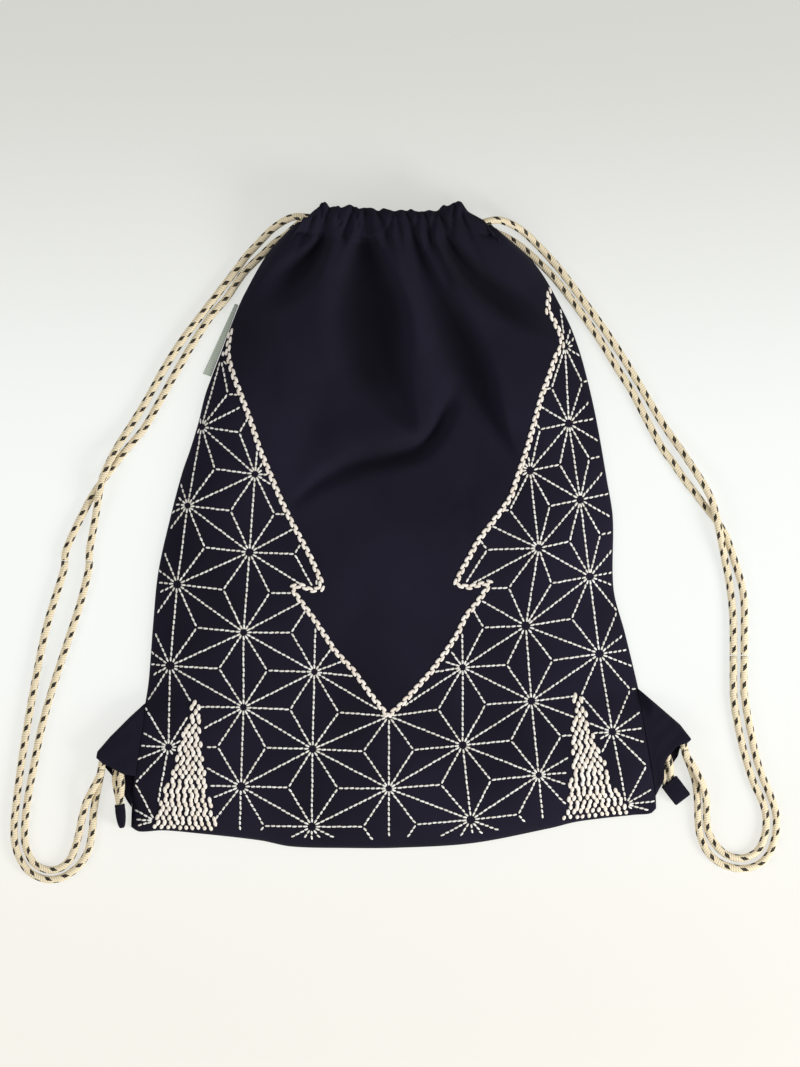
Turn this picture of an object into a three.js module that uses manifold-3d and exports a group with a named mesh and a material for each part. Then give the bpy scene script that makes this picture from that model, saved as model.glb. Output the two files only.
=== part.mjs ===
// Drawstring knapsack lying flat on its back, mouth towards +Y, front panel up.
// Two panels are sewn along the sides and the base and gathered at the mouth into two
// casings. Each of two cords runs through both casings, turns back at the far side, and
// comes down as a pair of shoulder strands to a folded cloth loop at the lower corner.
import * as THREE from "three";
import { mergeVertices } from "three/addons/utils/BufferGeometryUtils.js";
import Module from "manifold-3d";

const wasm = await Module();
wasm.setup();

// Driving dimensions, in millimetres.
const CLOTH = 1.6;
const SEAM_GAP = 0.3;
const SIDE_FOOT = -200;
const SIDE_TOP = 197.2;
const CROWN = 20.5;
const CROWN_AT_MOUTH = 25.1;
const SHOULDER_LIFT = 9.5;
const SHOULDER_PEAK = 7;
const FOLD_HEIGHT = 3.0;
const FOLD_COUNT = 7;

const CASING_CENTRE = -3;
const CASING_HALF = 54.6;
const CASING_FOOT = 197.5;
const CASING_TOP = 219;
const CASING_LIP = 213;
const CHANNEL = { y0: 199, y1: 211.6, height: 6.2 };
const FRONT_CHANNEL_Z = 24.3;
const BACK_CHANNEL_Z = 4.5;
const TURN_SLOT_FROM = 24.5;

const CORD = 5;
const CORD_SIDES = 8;
const CORD_STEP = 13;
const LEFT_RUN_Y = 208.5;
const RIGHT_RUN_Y = 202.3;
const TURN_RADIUS = (FRONT_CHANNEL_Z - BACK_CHANNEL_Z) / 2;
const TURN_OFFSET = 40.5;

const TAB_LAYER = 1.2;
const TAB_ROOT = 0.6;
const TAB_FOOT = 0.15;
const TAB_HEIGHT = 13.2;
const HOOK_RADIUS = 6.5;
const HOOK_LOW = 4.0;
const HOOK_HIGH = 9.4;

const THREAD_LIFT = 0.5;
const BORDER_WIDTH = 4.2;
const BORDER_HEIGHT = 1.2;
const FILL_HEIGHT = 0.9;

// Side seams from base to shoulder, as [x, y].
const LEFT_SEAM = [
  [-178.5, -205], [-177.9, -190], [-175.7, -170], [-172.1, -145], [-168.2, -117.3],
  [-166.3, -103], [-163.5, -66], [-160, -31],
  [-151, 9], [-144, 37], [-132, 77], [-122.5, 99], [-110, 138], [-101, 157],
  [-84, 184], [-66, 200],
];
const RIGHT_SEAM = [
  [178.4, -205], [178.2, -185], [176, -168], [172.1, -145], [166.4, -111.5],
  [163.6, -99], [157, -72], [149.5, -43],
  [149, 5.6], [145, 31], [138, 71], [132, 98], [125, 122.6], [116, 143.5],
  [95, 176.5], [60, 200],
];
// Base edge from the left corner to the right one, as [share of the half width, y].
const BASE_EDGE = [
  [-1, -205], [-0.72, -208.6], [-0.51, -214], [-0.39, -218.2], [-0.18, -219],
  [0.02, -218.8], [0.3, -215.7], [0.61, -204], [0.76, -200.5], [1, -191.5],
];

const COLOURS = {
  cloth: 0x1b1b24,
  cord: 0xe6d6b4,
  thread: 0xf1ece0,
  label: 0xb9c2b4,
};

function material(colour, roughness = 0.9) {
  return new THREE.MeshStandardMaterial({ color: colour, roughness, metalness: 0 });
}

function smoothstep(from, to, value) {
  return THREE.MathUtils.smoothstep(value, from, to);
}

// Smooth curve through [key, value] pairs, keys rising.
function through(pairs, key) {
  let i = 0;
  while (i < pairs.length - 2 && key > pairs[i + 1][0]) i++;
  const slope = (k) => {
    const a = pairs[Math.max(k - 1, 0)];
    const b = pairs[Math.min(k + 1, pairs.length - 1)];
    return (b[1] - a[1]) / (b[0] - a[0]);
  };
  const span = pairs[i + 1][0] - pairs[i][0];
  const t = THREE.MathUtils.clamp((key - pairs[i][0]) / span, 0, 1);
  const t2 = t * t;
  const t3 = t2 * t;
  return (
    pairs[i][1] * (2 * t3 - 3 * t2 + 1) +
    slope(i) * span * (t3 - 2 * t2 + t) +
    pairs[i + 1][1] * (3 * t2 - 2 * t3) +
    slope(i + 1) * span * (t3 - t2)
  );
}

const leftByHeight = LEFT_SEAM.map(([x, y]) => [y, x]);
const rightByHeight = RIGHT_SEAM.map(([x, y]) => [y, x]);

// Plan position of a panel point: u from -1 (left seam) to 1, v from 0 (base) to 1 (mouth).
function plan(u, v) {
  const row = SIDE_FOOT + v * (SIDE_TOP - SIDE_FOOT);
  const sag = (share) => (through(BASE_EDGE, share) - SIDE_FOOT) * (1 - v) ** 4;
  const left = through(leftByHeight, row + sag(-1));
  const right = through(rightByHeight, row + sag(1));
  const corner = SHOULDER_PEAK * smoothstep(0.93, 1, Math.abs(u)) * v ** 8;
  return {
    x: left + ((right - left) * (u + 1)) / 2,
    y: row + sag(u) + corner,
    half: (right - left) / 2,
    centre: (right + left) / 2,
  };
}

function lift(v) {
  return SHOULDER_LIFT * smoothstep(0.8, 0.98, v);
}

// Underside of the back panel: flat on the table, its seam edge raised at the shoulders.
function backHeight(u, v) {
  const inset = (1 - Math.abs(u)) * plan(u, v).half;
  return lift(v) * Math.exp(-inset / 20);
}

// Outside of the front panel: a soft crown, with gathers running down from the mouth.
function frontHeight(u, v) {
  const rim = lift(v) + 2 * CLOTH + SEAM_GAP;
  const crown = THREE.MathUtils.lerp(CROWN, CROWN_AT_MOUTH, smoothstep(0.7, 1, v));
  const softness = THREE.MathUtils.lerp(24, 9, smoothstep(0.8, 1, v));
  const inset = (1 - Math.abs(u)) * plan(u, v).half;
  const up = v * (SIDE_TOP - SIDE_FOOT);
  const swell = (1 - Math.exp(-inset / softness)) * (1 - Math.exp(-up / 16));
  const gather = Math.sin((Math.PI * FOLD_COUNT * (u + 1)) / 2) ** 2;
  const fold = FOLD_HEIGHT * smoothstep(0.82, 0.99, v) * gather * (1 - u * u);
  return rim + (crown - rim) * swell + fold;
}

// Height of the front panel over a plan point.
function frontAt(x, y) {
  let u = 0;
  let v = (y - SIDE_FOOT) / (SIDE_TOP - SIDE_FOOT);
  for (let i = 0; i < 12; i++) {
    const p = plan(u, v);
    v += (y - p.y) / (SIDE_TOP - SIDE_FOOT);
    u = (x - p.centre) / p.half;
  }
  return frontHeight(u, v);
}

function geometryFrom(points, faces) {
  const g = new THREE.BufferGeometry();
  g.setAttribute("position", new THREE.Float32BufferAttribute(points.flat(), 3));
  g.setIndex(faces.flat());
  return g;
}

// A geometry whose faces point out, whichever way its outline was walked.
function facingOut(points, faces) {
  let volume = 0;
  for (const [a, b, c] of faces) {
    const [p, q, r] = [points[a], points[b], points[c]];
    volume +=
      p[0] * (q[1] * r[2] - q[2] * r[1]) +
      p[1] * (q[2] * r[0] - q[0] * r[2]) +
      p[2] * (q[0] * r[1] - q[1] * r[0]);
  }
  return geometryFrom(points, volume < 0 ? faces.map(([a, b, c]) => [a, c, b]) : faces);
}

// Closed sheet between two height functions over the panel's plan.
function panelShell(columns, rows, low, high) {
  const points = [];
  const faces = [];
  const layer = (columns + 1) * (rows + 1);
  const at = (side, i, j) => side * layer + j * (columns + 1) + i;
  for (const height of [low, high]) {
    for (let j = 0; j <= rows; j++) {
      for (let i = 0; i <= columns; i++) {
        const u = (2 * i) / columns - 1;
        const v = j / rows;
        const p = plan(u, v);
        points.push([p.x, p.y, height(u, v)]);
      }
    }
  }
  for (let j = 0; j < rows; j++) {
    for (let i = 0; i < columns; i++) {
      const quad = [[i, j], [i + 1, j], [i + 1, j + 1], [i, j + 1]];
      const [a, b, c, d] = quad.map(([s, t]) => at(1, s, t));
      const [e, f, g, h] = quad.map(([s, t]) => at(0, s, t));
      faces.push([a, b, c], [a, c, d], [e, g, f], [e, h, g]);
    }
  }
  const rim = [];
  for (let i = 0; i < columns; i++) rim.push([i, 0]);
  for (let j = 0; j < rows; j++) rim.push([columns, j]);
  for (let i = columns; i > 0; i--) rim.push([i, rows]);
  for (let j = rows; j > 0; j--) rim.push([0, j]);
  rim.forEach(([i, j], k) => {
    const [s, t] = rim[(k + 1) % rim.length];
    const [a, b, c, d] = [at(0, i, j), at(0, s, t), at(1, s, t), at(1, i, j)];
    faces.push([a, b, c], [a, c, d]);
  });
  return facingOut(points, faces);
}

// Solid swept through a list of placements of one flat profile.
function sweep(profile, placements) {
  const n = profile.length;
  const points = placements.flatMap((place) => profile.map(([a, b]) => place(a, b)));
  const faces = [];
  for (let k = 0; k < placements.length - 1; k++) {
    for (let i = 0; i < n; i++) {
      const j = (i + 1) % n;
      const [a, b] = [k * n + i, k * n + j];
      faces.push([a, b, b + n], [a, b + n, a + n]);
    }
  }
  const outline = profile.map(([a, b]) => new THREE.Vector2(a, b));
  const turn = THREE.ShapeUtils.isClockWise(outline) ? -1 : 1;
  const last = (placements.length - 1) * n;
  for (const [a, b, c] of THREE.ShapeUtils.triangulateShape(outline, [])) {
    faces.push(turn > 0 ? [a, c, b] : [a, b, c]);
    faces.push(turn > 0 ? [last + a, last + b, last + c] : [last + a, last + c, last + b]);
  }
  return facingOut(points, faces);
}

function upright(outline, z0, z1) {
  return sweep(outline, [z0, z1].map((z) => (a, b) => [a, b, z]));
}

function box(x0, x1, y0, y1, z0, z1) {
  return upright([[x0, y0], [x1, y0], [x1, y1], [x0, y1]], z0, z1);
}

function solid(geometry) {
  const bare = geometry.clone();
  bare.deleteAttribute("normal");
  bare.deleteAttribute("uv");
  const merged = mergeVertices(bare, 1e-4);
  return new wasm.Manifold(
    new wasm.Mesh({
      numProp: 3,
      vertProperties: merged.attributes.position.array,
      triVerts: new Uint32Array(merged.index.array),
    }),
  );
}

function geometryOf(body) {
  const m = body.getMesh();
  const g = new THREE.BufferGeometry();
  g.setAttribute("position", new THREE.BufferAttribute(new Float32Array(m.vertProperties), 3));
  g.setIndex(new THREE.BufferAttribute(new Uint32Array(m.triVerts), 1));
  return g;
}

const bag = new THREE.Group();

function add(name, geometry, colour, roughness) {
  geometry.computeVertexNormals();
  const mesh = new THREE.Mesh(geometry, material(colour, roughness));
  mesh.name = name;
  bag.add(mesh);
  return mesh;
}

// Panels.
add(
  "front_panel",
  panelShell(40, 24, (u, v) => frontHeight(u, v) - CLOTH, frontHeight),
  COLOURS.cloth,
);
add(
  "back_panel",
  panelShell(20, 24, backHeight, (u, v) => backHeight(u, v) + CLOTH),
  COLOURS.cloth,
);

// Casings: ruffled sleeves round a straight channel, with the walls that face each other
// cut back at both ends so that a cord can turn from one sleeve into the other.
const SLEEVE = [
  [0, 0.3], [0.05, 0.1], [0.2, 0], [0.75, 0], [0.93, 0.12], [1, 0.4],
  [1, 0.62], [0.92, 0.85], [0.75, 0.97], [0.3, 1], [0.06, 0.9], [0, 0.7],
];

function ruffledLip(d) {
  const shoulder = 6.6 * Math.exp(-(((Math.abs(d) - 45) / 6) ** 2));
  return Math.min(CASING_LIP + shoulder + 0.8 * Math.cos(d / 1.45), CASING_TOP);
}

function casing(mouthZ, outerZ, channelZ) {
  const stations = 44;
  const outward = Math.sign(outerZ - mouthZ);
  const placements = Array.from({ length: stations + 1 }, (_, k) => {
    const d = CASING_HALF * ((2 * k) / stations - 1);
    const crest = outward > 0 ? 0.7 * (1 + Math.cos(d / 1.6)) : 0;
    return (a, b) => [
      CASING_CENTRE + d,
      CASING_FOOT + a * (ruffledLip(d) - CASING_FOOT),
      mouthZ + b * (outerZ + crest - mouthZ),
    ];
  });
  const half = CHANNEL.height / 2;
  const x0 = CASING_CENTRE - CASING_HALF - 5;
  const x1 = CASING_CENTRE + CASING_HALF + 5;
  const channel = box(x0, x1, CHANNEL.y0, CHANNEL.y1, channelZ - half, channelZ + half);
  const slotZ = [channelZ, mouthZ - 4 * outward].sort((p, q) => p - q);
  const slot = (from, to) => box(from, to, CHANNEL.y0, CHANNEL.y1, ...slotZ);
  return geometryOf(
    solid(sweep(SLEEVE, placements))
      .subtract(solid(channel))
      .subtract(solid(slot(x0, CASING_CENTRE - TURN_SLOT_FROM)))
      .subtract(solid(slot(CASING_CENTRE + TURN_SLOT_FROM, x1))),
  );
}

add("front_casing", casing(19.8, 28.8, FRONT_CHANNEL_Z), COLOURS.cloth);
add("back_casing", casing(8.9, 0.15, BACK_CHANNEL_Z), COLOURS.cloth);

// Cords.
const CORD_SECTION = new THREE.Shape(
  Array.from({ length: CORD_SIDES }, (_, k) => {
    const a = ((k + 0.5) * 2 * Math.PI) / CORD_SIDES;
    return new THREE.Vector2((CORD / 2) * Math.cos(a), (CORD / 2) * Math.sin(a));
  }),
);

function cord(points, step = CORD_STEP) {
  const path = new THREE.CatmullRomCurve3(points.map((p) => new THREE.Vector3(...p)));
  const steps = Math.ceil(path.getLength() / step);
  return new THREE.ExtrudeGeometry(CORD_SECTION, { extrudePath: path, steps });
}

// The stretch of one cord inside the casings: out through the front sleeve, round, and back.
function casingLoop(y, side) {
  const start = CASING_CENTRE + side * (CASING_HALF - 2.5);
  const turn = CASING_CENTRE - side * TURN_OFFSET;
  const mid = (FRONT_CHANNEL_Z + BACK_CHANNEL_Z) / 2;
  const out = [0, 0.3, 0.6, 0.9].map((t) => start + (turn - start) * t);
  const bend = [90, 67.5, 45, 22.5, 0, -22.5, -45, -67.5, -90].map((deg) => {
    const a = THREE.MathUtils.degToRad(deg);
    return [turn - side * TURN_RADIUS * Math.cos(a), y, mid + TURN_RADIUS * Math.sin(a)];
  });
  return cord(
    [
      ...out.map((x) => [x, y, FRONT_CHANNEL_Z]),
      ...bend,
      ...out.reverse().map((x) => [x, y, BACK_CHANNEL_Z]),
    ],
    6,
  );
}

add("left_cord_casing_loop", casingLoop(LEFT_RUN_Y, -1), COLOURS.cord, 0.85);
add("right_cord_casing_loop", casingLoop(RIGHT_RUN_Y, 1), COLOURS.cord, 0.85);

// Free strands, from the casing down to the level where the shoulder loop hangs straight.
const LEFT_FRONT_UPPER = [
  [-55.6, 208.5, 24.3], [-58.4, 208.5, 24.3], [-67, 208.9, 22.5], [-74, 206.5, 18.5],
  [-83, 200.5, 12], [-91, 192.6, 7], [-99.5, 183.8, 4], [-107, 173.9, 2.9],
  [-114, 164.9, 2.8], [-128.8, 145.8, 2.8], [-144.5, 125, 2.8], [-156.7, 105.6, 2.8],
  [-167.6, 85.8, 2.8], [-178.4, 68.2, 3.2], [-186.5, 55.5, 5.2], [-193.6, 41.9, 7.9],
  [-197.8, 31.5, 8.4], [-200.4, 19.3, 7.4], [-202.4, 7.1, 4.8], [-204.6, -5, 3.1],
  [-206.3, -14, 2.8], [-206.9, -19.5, 2.8], [-206.9, -23.4, 2.8],
];
const LEFT_BACK_UPPER = [
  [-55.6, 208.5, 4.5], [-58.4, 208.4, 4.5], [-66, 203.9, 3.4], [-73, 197.6, 2.9],
  [-80.4, 192.6, 2.8], [-88, 185.5, 2.8], [-95.5, 178.3, 2.8], [-102.4, 171, 2.8],
  [-114, 154.2, 2.8], [-123.6, 143.2, 2.8], [-136.2, 124.3, 2.8], [-148.4, 103.6, 2.8],
  [-159.6, 83.5, 2.8], [-169.5, 66.5, 2.8], [-182.7, 50.5, 2.8], [-190.5, 40.5, 2.8],
  [-198.4, 29.7, 2.8], [-204.4, 21, 2.8], [-210.1, 10.6, 2.8], [-215.7, -0.6, 2.8],
  [-220.4, -11, 2.8], [-223.2, -18.5, 2.8], [-223.5, -23.4, 2.8],
];
const RIGHT_FRONT_UPPER = [
  [49.6, 202.3, 24.3], [52.6, 202.3, 24.3], [62, 205.4, 22.6], [70, 207, 19],
  [78.5, 205, 14], [88, 199.6, 8.6], [97, 191.5, 4.6], [105.3, 182.8, 2.9],
  [113.3, 173.6, 2.8], [128.2, 153.9, 2.8], [142.6, 134.2, 2.8], [156.2, 113.8, 2.8],
  [168, 94.2, 2.8], [181.2, 72.2, 2.8], [188, 61.8, 3.2], [195, 51.8, 5.2],
  [202, 41.2, 7.2], [208.6, 31, 8.2], [214.2, 21, 8.4], [218.1, 9.9, 8.4],
  [220.3, 0, 8.3], [222.6, -11, 6.6], [225.2, -24, 4.1], [227.8, -37, 2.9],
  [229.6, -50.2, 2.8], [230.6, -63, 2.8], [230.8, -76, 2.8], [230.8, -87.6, 2.8],
];
const RIGHT_BACK_UPPER = [
  [49.6, 202.3, 4.5], [52.6, 202.3, 4.5], [63, 200.6, 3.5], [70, 198.8, 2.9],
  [77, 195.8, 2.8], [85.2, 190.6, 2.8], [95.4, 182.1, 2.8], [104.5, 173.4, 2.8],
  [112.6, 164.2, 2.8], [127.2, 145, 2.8], [140.6, 125.6, 2.8], [153.8, 104, 2.8],
  [160.6, 93.5, 2.8], [172.2, 71.5, 2.8], [183, 52, 2.8], [189.8, 43, 2.8],
  [196.5, 33, 2.8], [205, 22, 2.8], [212.2, 12.5, 2.8], [219.5, 3.3, 2.8],
  [225.2, -6, 2.8], [229.4, -16.8, 2.8], [233, -28.2, 2.8], [236.4, -39.7, 2.8],
  [238.2, -52, 2.8], [238.4, -66, 2.8], [238.3, -80, 2.8], [238.3, -87.6, 2.8],
];

add("left_front_strand_upper", cord(LEFT_FRONT_UPPER), COLOURS.cord, 0.85);
add("left_back_strand_upper", cord(LEFT_BACK_UPPER), COLOURS.cord, 0.85);
add("right_front_strand_upper", cord(RIGHT_FRONT_UPPER), COLOURS.cord, 0.85);
add("right_back_strand_upper", cord(RIGHT_BACK_UPPER), COLOURS.cord, 0.85);

// Corner loops. "up" runs along the seam towards the mouth and "out" away from the bag.
const LEFT_CORNER = {
  up: new THREE.Vector2(0.141, 0.99).normalize(),
  out: new THREE.Vector2(-0.99, 0.141).normalize(),
  seam: new THREE.Vector2(-172.1, -145),
  hook: new THREE.Vector2(-191.5, -162.2),
  front: [
    [-167.4, -119], [-179, -129.6], [-192.4, -143], [-201, -153], [-201.5, -157.5],
    [-198, -160.5], [-190.2, -164.7], [-182.7, -168.5], [-173.6, -170],
  ],
  back: [
    [-167.4, -119], [-179, -129.6], [-192.4, -143], [-201, -153], [-201.5, -157.5],
    [-198.5, -161.3], [-190.5, -171], [-174, -171.6],
  ],
};
const RIGHT_CORNER = {
  up: new THREE.Vector2(-0.168, 0.986).normalize(),
  out: new THREE.Vector2(0.986, 0.168).normalize(),
  seam: new THREE.Vector2(172.1, -145),
  hook: new THREE.Vector2(190.5, -149),
  front: [
    [165.5, -110], [179, -121.5], [194.4, -134.8], [201.5, -144], [199.4, -147],
    [191.8, -149.7], [185.9, -154.3], [172.4, -159.7],
  ],
  back: [
    [165.5, -110], [179, -121.5], [194.4, -134.8], [201.5, -144], [198.8, -147.7],
    [194.4, -151.8], [193.3, -156.4], [188.6, -163.3], [174, -168.2],
  ],
};

// Profile across the seam, as [distance out, z]: thin where it is sewn in, full over the cord.
const LOOP_PROFILE = [
  [TAB_ROOT, 1.2], [5, TAB_FOOT], [40, TAB_FOOT], [40, TAB_HEIGHT], [6.6, TAB_HEIGHT],
  [2.4, 4.2], [TAB_ROOT, 2.4],
];
const LOOP_HOLLOW = [
  [7.2, TAB_FOOT + TAB_LAYER], [45, TAB_FOOT + TAB_LAYER], [45, TAB_HEIGHT - TAB_LAYER],
  [8.2, TAB_HEIGHT - TAB_LAYER], [7.2, 10.4],
];

function alongSeam(corner, profile, from, to) {
  return sweep(
    profile,
    [from, to].map((t) => (n, z) => {
      const p = corner.seam.clone().addScaledVector(corner.out, n).addScaledVector(corner.up, t);
      return [p.x, p.y, z];
    }),
  );
}

// Folded cloth loop: a pocket closed along its upper fold and open along its lower edge.
function cornerLoop(corner) {
  const outer = solid(upright(corner.front, 0, 20)).intersect(
    solid(alongSeam(corner, LOOP_PROFILE, -60, 60)),
  );
  const [start, end] = [corner.front[0], corner.front[3]].map((p) => new THREE.Vector2(...p));
  const fold = end.clone().sub(start).normalize();
  const inward = new THREE.Vector2(fold.y, -fold.x);
  if (inward.dot(corner.out) > 0) inward.negate();
  const edge = start.clone().addScaledVector(inward, 2.2);
  const corners = [
    edge.clone().addScaledVector(fold, -20),
    edge.clone().addScaledVector(fold, 80),
    edge.clone().addScaledVector(fold, 80).addScaledVector(inward, 80),
    edge.clone().addScaledVector(fold, -20).addScaledVector(inward, 80),
  ].map((p) => [p.x, p.y]);
  const hollow = solid(alongSeam(corner, LOOP_HOLLOW, -60, 60)).intersect(
    solid(upright(corners, 0, 20)),
  );
  const under = solid(upright(corner.back, TAB_FOOT, TAB_FOOT + TAB_LAYER)).intersect(
    solid(alongSeam(corner, LOOP_PROFILE, -60, 60)),
  );
  return geometryOf(outer.subtract(hollow).add(under));
}

add("left_corner_loop", cornerLoop(LEFT_CORNER), COLOURS.cloth);
add("right_corner_loop", cornerLoop(RIGHT_CORNER), COLOURS.cloth);

// Point of a hook: angle 180 is where the strand comes in from outside, 0 where it leaves.
function hookPoint(corner, deg, drop, z) {
  const a = THREE.MathUtils.degToRad(deg);
  const p = corner.hook
    .clone()
    .addScaledVector(corner.out, -HOOK_RADIUS * Math.cos(a))
    .addScaledVector(corner.up, HOOK_RADIUS * Math.sin(a) - drop);
  return [p.x, p.y, z];
}

// Tail of a strand: round the hook to the last angle, then on to its end cover.
function tail(corner, z, rest, last = 20) {
  const turn = [160, 125, 90, 55, 20].filter((deg) => deg >= last);
  const leave = last === 20 ? [hookPoint(corner, 0, 2, z)] : [];
  return cord(
    [
      hookPoint(corner, 180, 3.85, z),
      hookPoint(corner, 180, 1.5, z),
      ...turn.map((deg) => hookPoint(corner, deg, 0, z)),
      ...leave,
      ...rest,
    ],
    5,
  );
}

add(
  "left_front_tail",
  tail(LEFT_CORNER, HOOK_HIGH, [
    [-185.5, -168.5, 9.4], [-184.8, -174, 9.4], [-185.2, -181, 9.4], [-186, -189, 9.4],
    [-186, -197, 9.4],
  ]),
  COLOURS.cord,
  0.85,
);
add(
  "left_back_tail",
  tail(
    LEFT_CORNER,
    HOOK_LOW,
    [
      [-187.2, -161.5, 4], [-188.6, -166.5, 4], [-189, -171.5, 4], [-188.5, -177, 4],
      [-187, -184, 4], [-186.1, -190, 4], [-186, -197, 4],
    ],
    55,
  ),
  COLOURS.cord,
  0.85,
);
add(
  "right_front_tail",
  tail(RIGHT_CORNER, HOOK_HIGH, [
    [186.1, -157.5, 9.3], [187.6, -162.5, 7.8], [188, -167, 5.4], [188.2, -170.7, 4],
    [189.7, -172.7, 3.8], [193.6, -177.8, 3.8],
  ]),
  COLOURS.cord,
  0.85,
);
add(
  "right_back_tail",
  tail(RIGHT_CORNER, HOOK_LOW, [
    [184, -158.9, 4.1], [182.6, -165.5, 4.1], [182.8, -170.6, 3.9], [184, -173.9, 3.8],
    [185.5, -175.9, 3.8], [189.4, -181, 3.8],
  ]),
  COLOURS.cord,
  0.85,
);

// Cloth end covers, each a folded square with a slot that takes both cord ends.
function endCover(thickness, width) {
  const length = 16;
  const slot = { t: CORD + 0.6, w: 2 * CORD + 1.4, depth: 8.4 };
  const outline = (w, t, r) => [
    [-w + r, -t], [w - r, -t], [w, -t + r], [w, t - r],
    [w - r, t], [-w + r, t], [-w, t - r], [-w, -t + r],
  ];
  const block = sweep(
    outline(width / 2, thickness / 2, 1.2),
    [0, -length].map((y) => (a, b) => [a, y, b]),
  );
  const hole = sweep(
    outline(slot.w / 2, slot.t / 2, 0.5),
    [5, -slot.depth].map((y) => (a, b) => [a, y, b]),
  );
  return geometryOf(solid(block).subtract(solid(hole)));
}

const leftCover = add("left_end_cover", endCover(7, 13.2), COLOURS.cloth);
leftCover.position.set(-186, -189, 6.9);
leftCover.rotation.set(0, Math.PI / 2, 0);
const rightCover = add("right_end_cover", endCover(7, 13.2), COLOURS.cloth);
rightCover.position.set(187, -173.5, 3.8);
rightCover.rotation.set(0, 0, Math.atan2(0.607, 0.795));

// Lower strands: the shoulder loops on the table, ending where they enter the corner loops.
function lowerStrand(corner, z, points) {
  return cord([...points, hookPoint(corner, 180, 7, z), hookPoint(corner, 180, 4.15, z)]);
}

const LEFT_FRONT_LOWER = [
  [-206.9, -23.8, 2.8], [-207, -28, 2.8], [-208.9, -37, 2.8], [-213, -52.7, 2.8],
  [-220.9, -77, 2.8], [-232.4, -112.3, 2.8], [-239.8, -139.5, 2.8], [-244.6, -163.3, 2.8],
  [-248.7, -185.8, 2.8], [-250.7, -203.5, 2.8], [-250.2, -217, 2.8], [-244.6, -229, 2.8],
  [-235.1, -233.8, 2.8], [-226.2, -232.4, 2.8], [-219.4, -225.6, 2.8], [-214.8, -213, 2.9],
  [-211.9, -199, 3.7], [-208.4, -187, 6], [-203.2, -177, 8.7],
];
const LEFT_BACK_LOWER = [
  [-223.5, -23.8, 2.8], [-223.8, -28, 2.8], [-226.4, -37.5, 2.8], [-229.8, -48, 2.8],
  [-236.5, -70.9, 2.8], [-246, -118.5, 2.8], [-252.1, -155.2, 2.8], [-256.2, -185.8, 2.8],
  [-258, -207.5, 2.8], [-256, -221.5, 2.8], [-248.3, -234.4, 2.8], [-237.1, -240, 2.8],
  [-226.6, -239.4, 2.8], [-215.6, -232.6, 2.8], [-208.2, -222, 2.8], [-205, -208, 2.8],
  [-203.6, -192, 2.9], [-201.3, -180, 3.4],
];
const RIGHT_FRONT_LOWER = [
  [230.8, -88.4, 2.8], [230.8, -93, 2.8], [230.8, -104, 2.8], [231, -115.1, 2.8],
  [232.4, -127.3, 2.8], [236.2, -146.3, 2.8], [240.2, -161.3, 2.8], [245, -175.6, 2.8],
  [250.2, -186.5, 2.8], [253, -197.3, 2.8], [252, -211, 2.8], [247.2, -220.8, 2.8],
  [238.2, -225.6, 2.8], [228, -224.4, 2.8], [219.6, -217.8, 2.8], [213.6, -207, 2.9],
  [212.6, -196, 3.3], [212.2, -186, 4.7], [209.2, -175, 7.5], [204, -164.5, 9.1],
];
const RIGHT_BACK_LOWER = [
  [238.3, -88.4, 2.8], [238.3, -93, 2.8], [238, -104, 2.8], [238.2, -113, 2.8],
  [239.8, -125, 2.8], [243, -141.6, 2.8], [246.6, -158.5, 2.8], [251.2, -172, 2.8],
  [256.4, -184.5, 2.8], [259.8, -196, 2.8], [259.2, -211.4, 2.8], [254.6, -223.6, 2.8],
  [246.4, -230.8, 2.8], [235.8, -233, 2.8], [224, -230.2, 2.8], [214, -222.5, 2.8],
  [208.2, -210, 2.8], [206.8, -198, 2.8], [206.4, -186, 2.9], [205, -174, 3.1],
  [201.6, -163.5, 3.7],
];
add(
  "left_front_strand_lower",
  lowerStrand(LEFT_CORNER, HOOK_HIGH, LEFT_FRONT_LOWER),
  COLOURS.cord,
  0.85,
);
add(
  "left_back_strand_lower",
  lowerStrand(LEFT_CORNER, HOOK_LOW, LEFT_BACK_LOWER),
  COLOURS.cord,
  0.85,
);
add(
  "right_front_strand_lower",
  lowerStrand(RIGHT_CORNER, HOOK_HIGH, RIGHT_FRONT_LOWER),
  COLOURS.cord,
  0.85,
);
add(
  "right_back_strand_lower",
  lowerStrand(RIGHT_CORNER, HOOK_LOW, RIGHT_BACK_LOWER),
  COLOURS.cord,
  0.85,
);

// Side label, a narrow flap along the left seam.
add(
  "side_label",
  upright([[-106.8, 150.6], [-108, 151], [-129.8, 103.3], [-124.4, 101.6]], 0.4, 1.2),
  COLOURS.label,
);

// Raised thread work on the front panel.
function threadStrip(points, width, height) {
  const path = points.map((p) => new THREE.Vector2(...p));
  const sides = path.map((p, k) => {
    const a = path[Math.max(k - 1, 0)];
    const b = path[Math.min(k + 1, path.length - 1)];
    const along = b.clone().sub(a).normalize();
    return new THREE.Vector2(-along.y, along.x).multiplyScalar(width / 2);
  });
  return sweep(
    [[-1, 0], [1, 0], [0.6, 1], [-0.6, 1]],
    path.map((p, k) => (a, b) => {
      const q = p.clone().addScaledVector(sides[k], a);
      return [q.x, q.y, frontAt(q.x, q.y) + THREAD_LIFT + b * height];
    }),
  );
}

// Straight stretches of a border, with points no further apart than the panel's own grid.
function divided(points, step = 11) {
  return points.flatMap((p, k) => {
    if (k === 0) return [p];
    const a = points[k - 1];
    const n = Math.ceil(Math.hypot(p[0] - a[0], p[1] - a[1]) / step);
    return Array.from({ length: n }, (_, i) => {
      const t = (i + 1) / n;
      return [a[0] + (p[0] - a[0]) * t, a[1] + (p[1] - a[1]) * t];
    });
  });
}

function border(stretches) {
  return geometryOf(
    stretches
      .map((points) => solid(threadStrip(divided(points), BORDER_WIDTH, BORDER_HEIGHT)))
      .reduce((whole, part) => whole.add(part)),
  );
}

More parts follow.
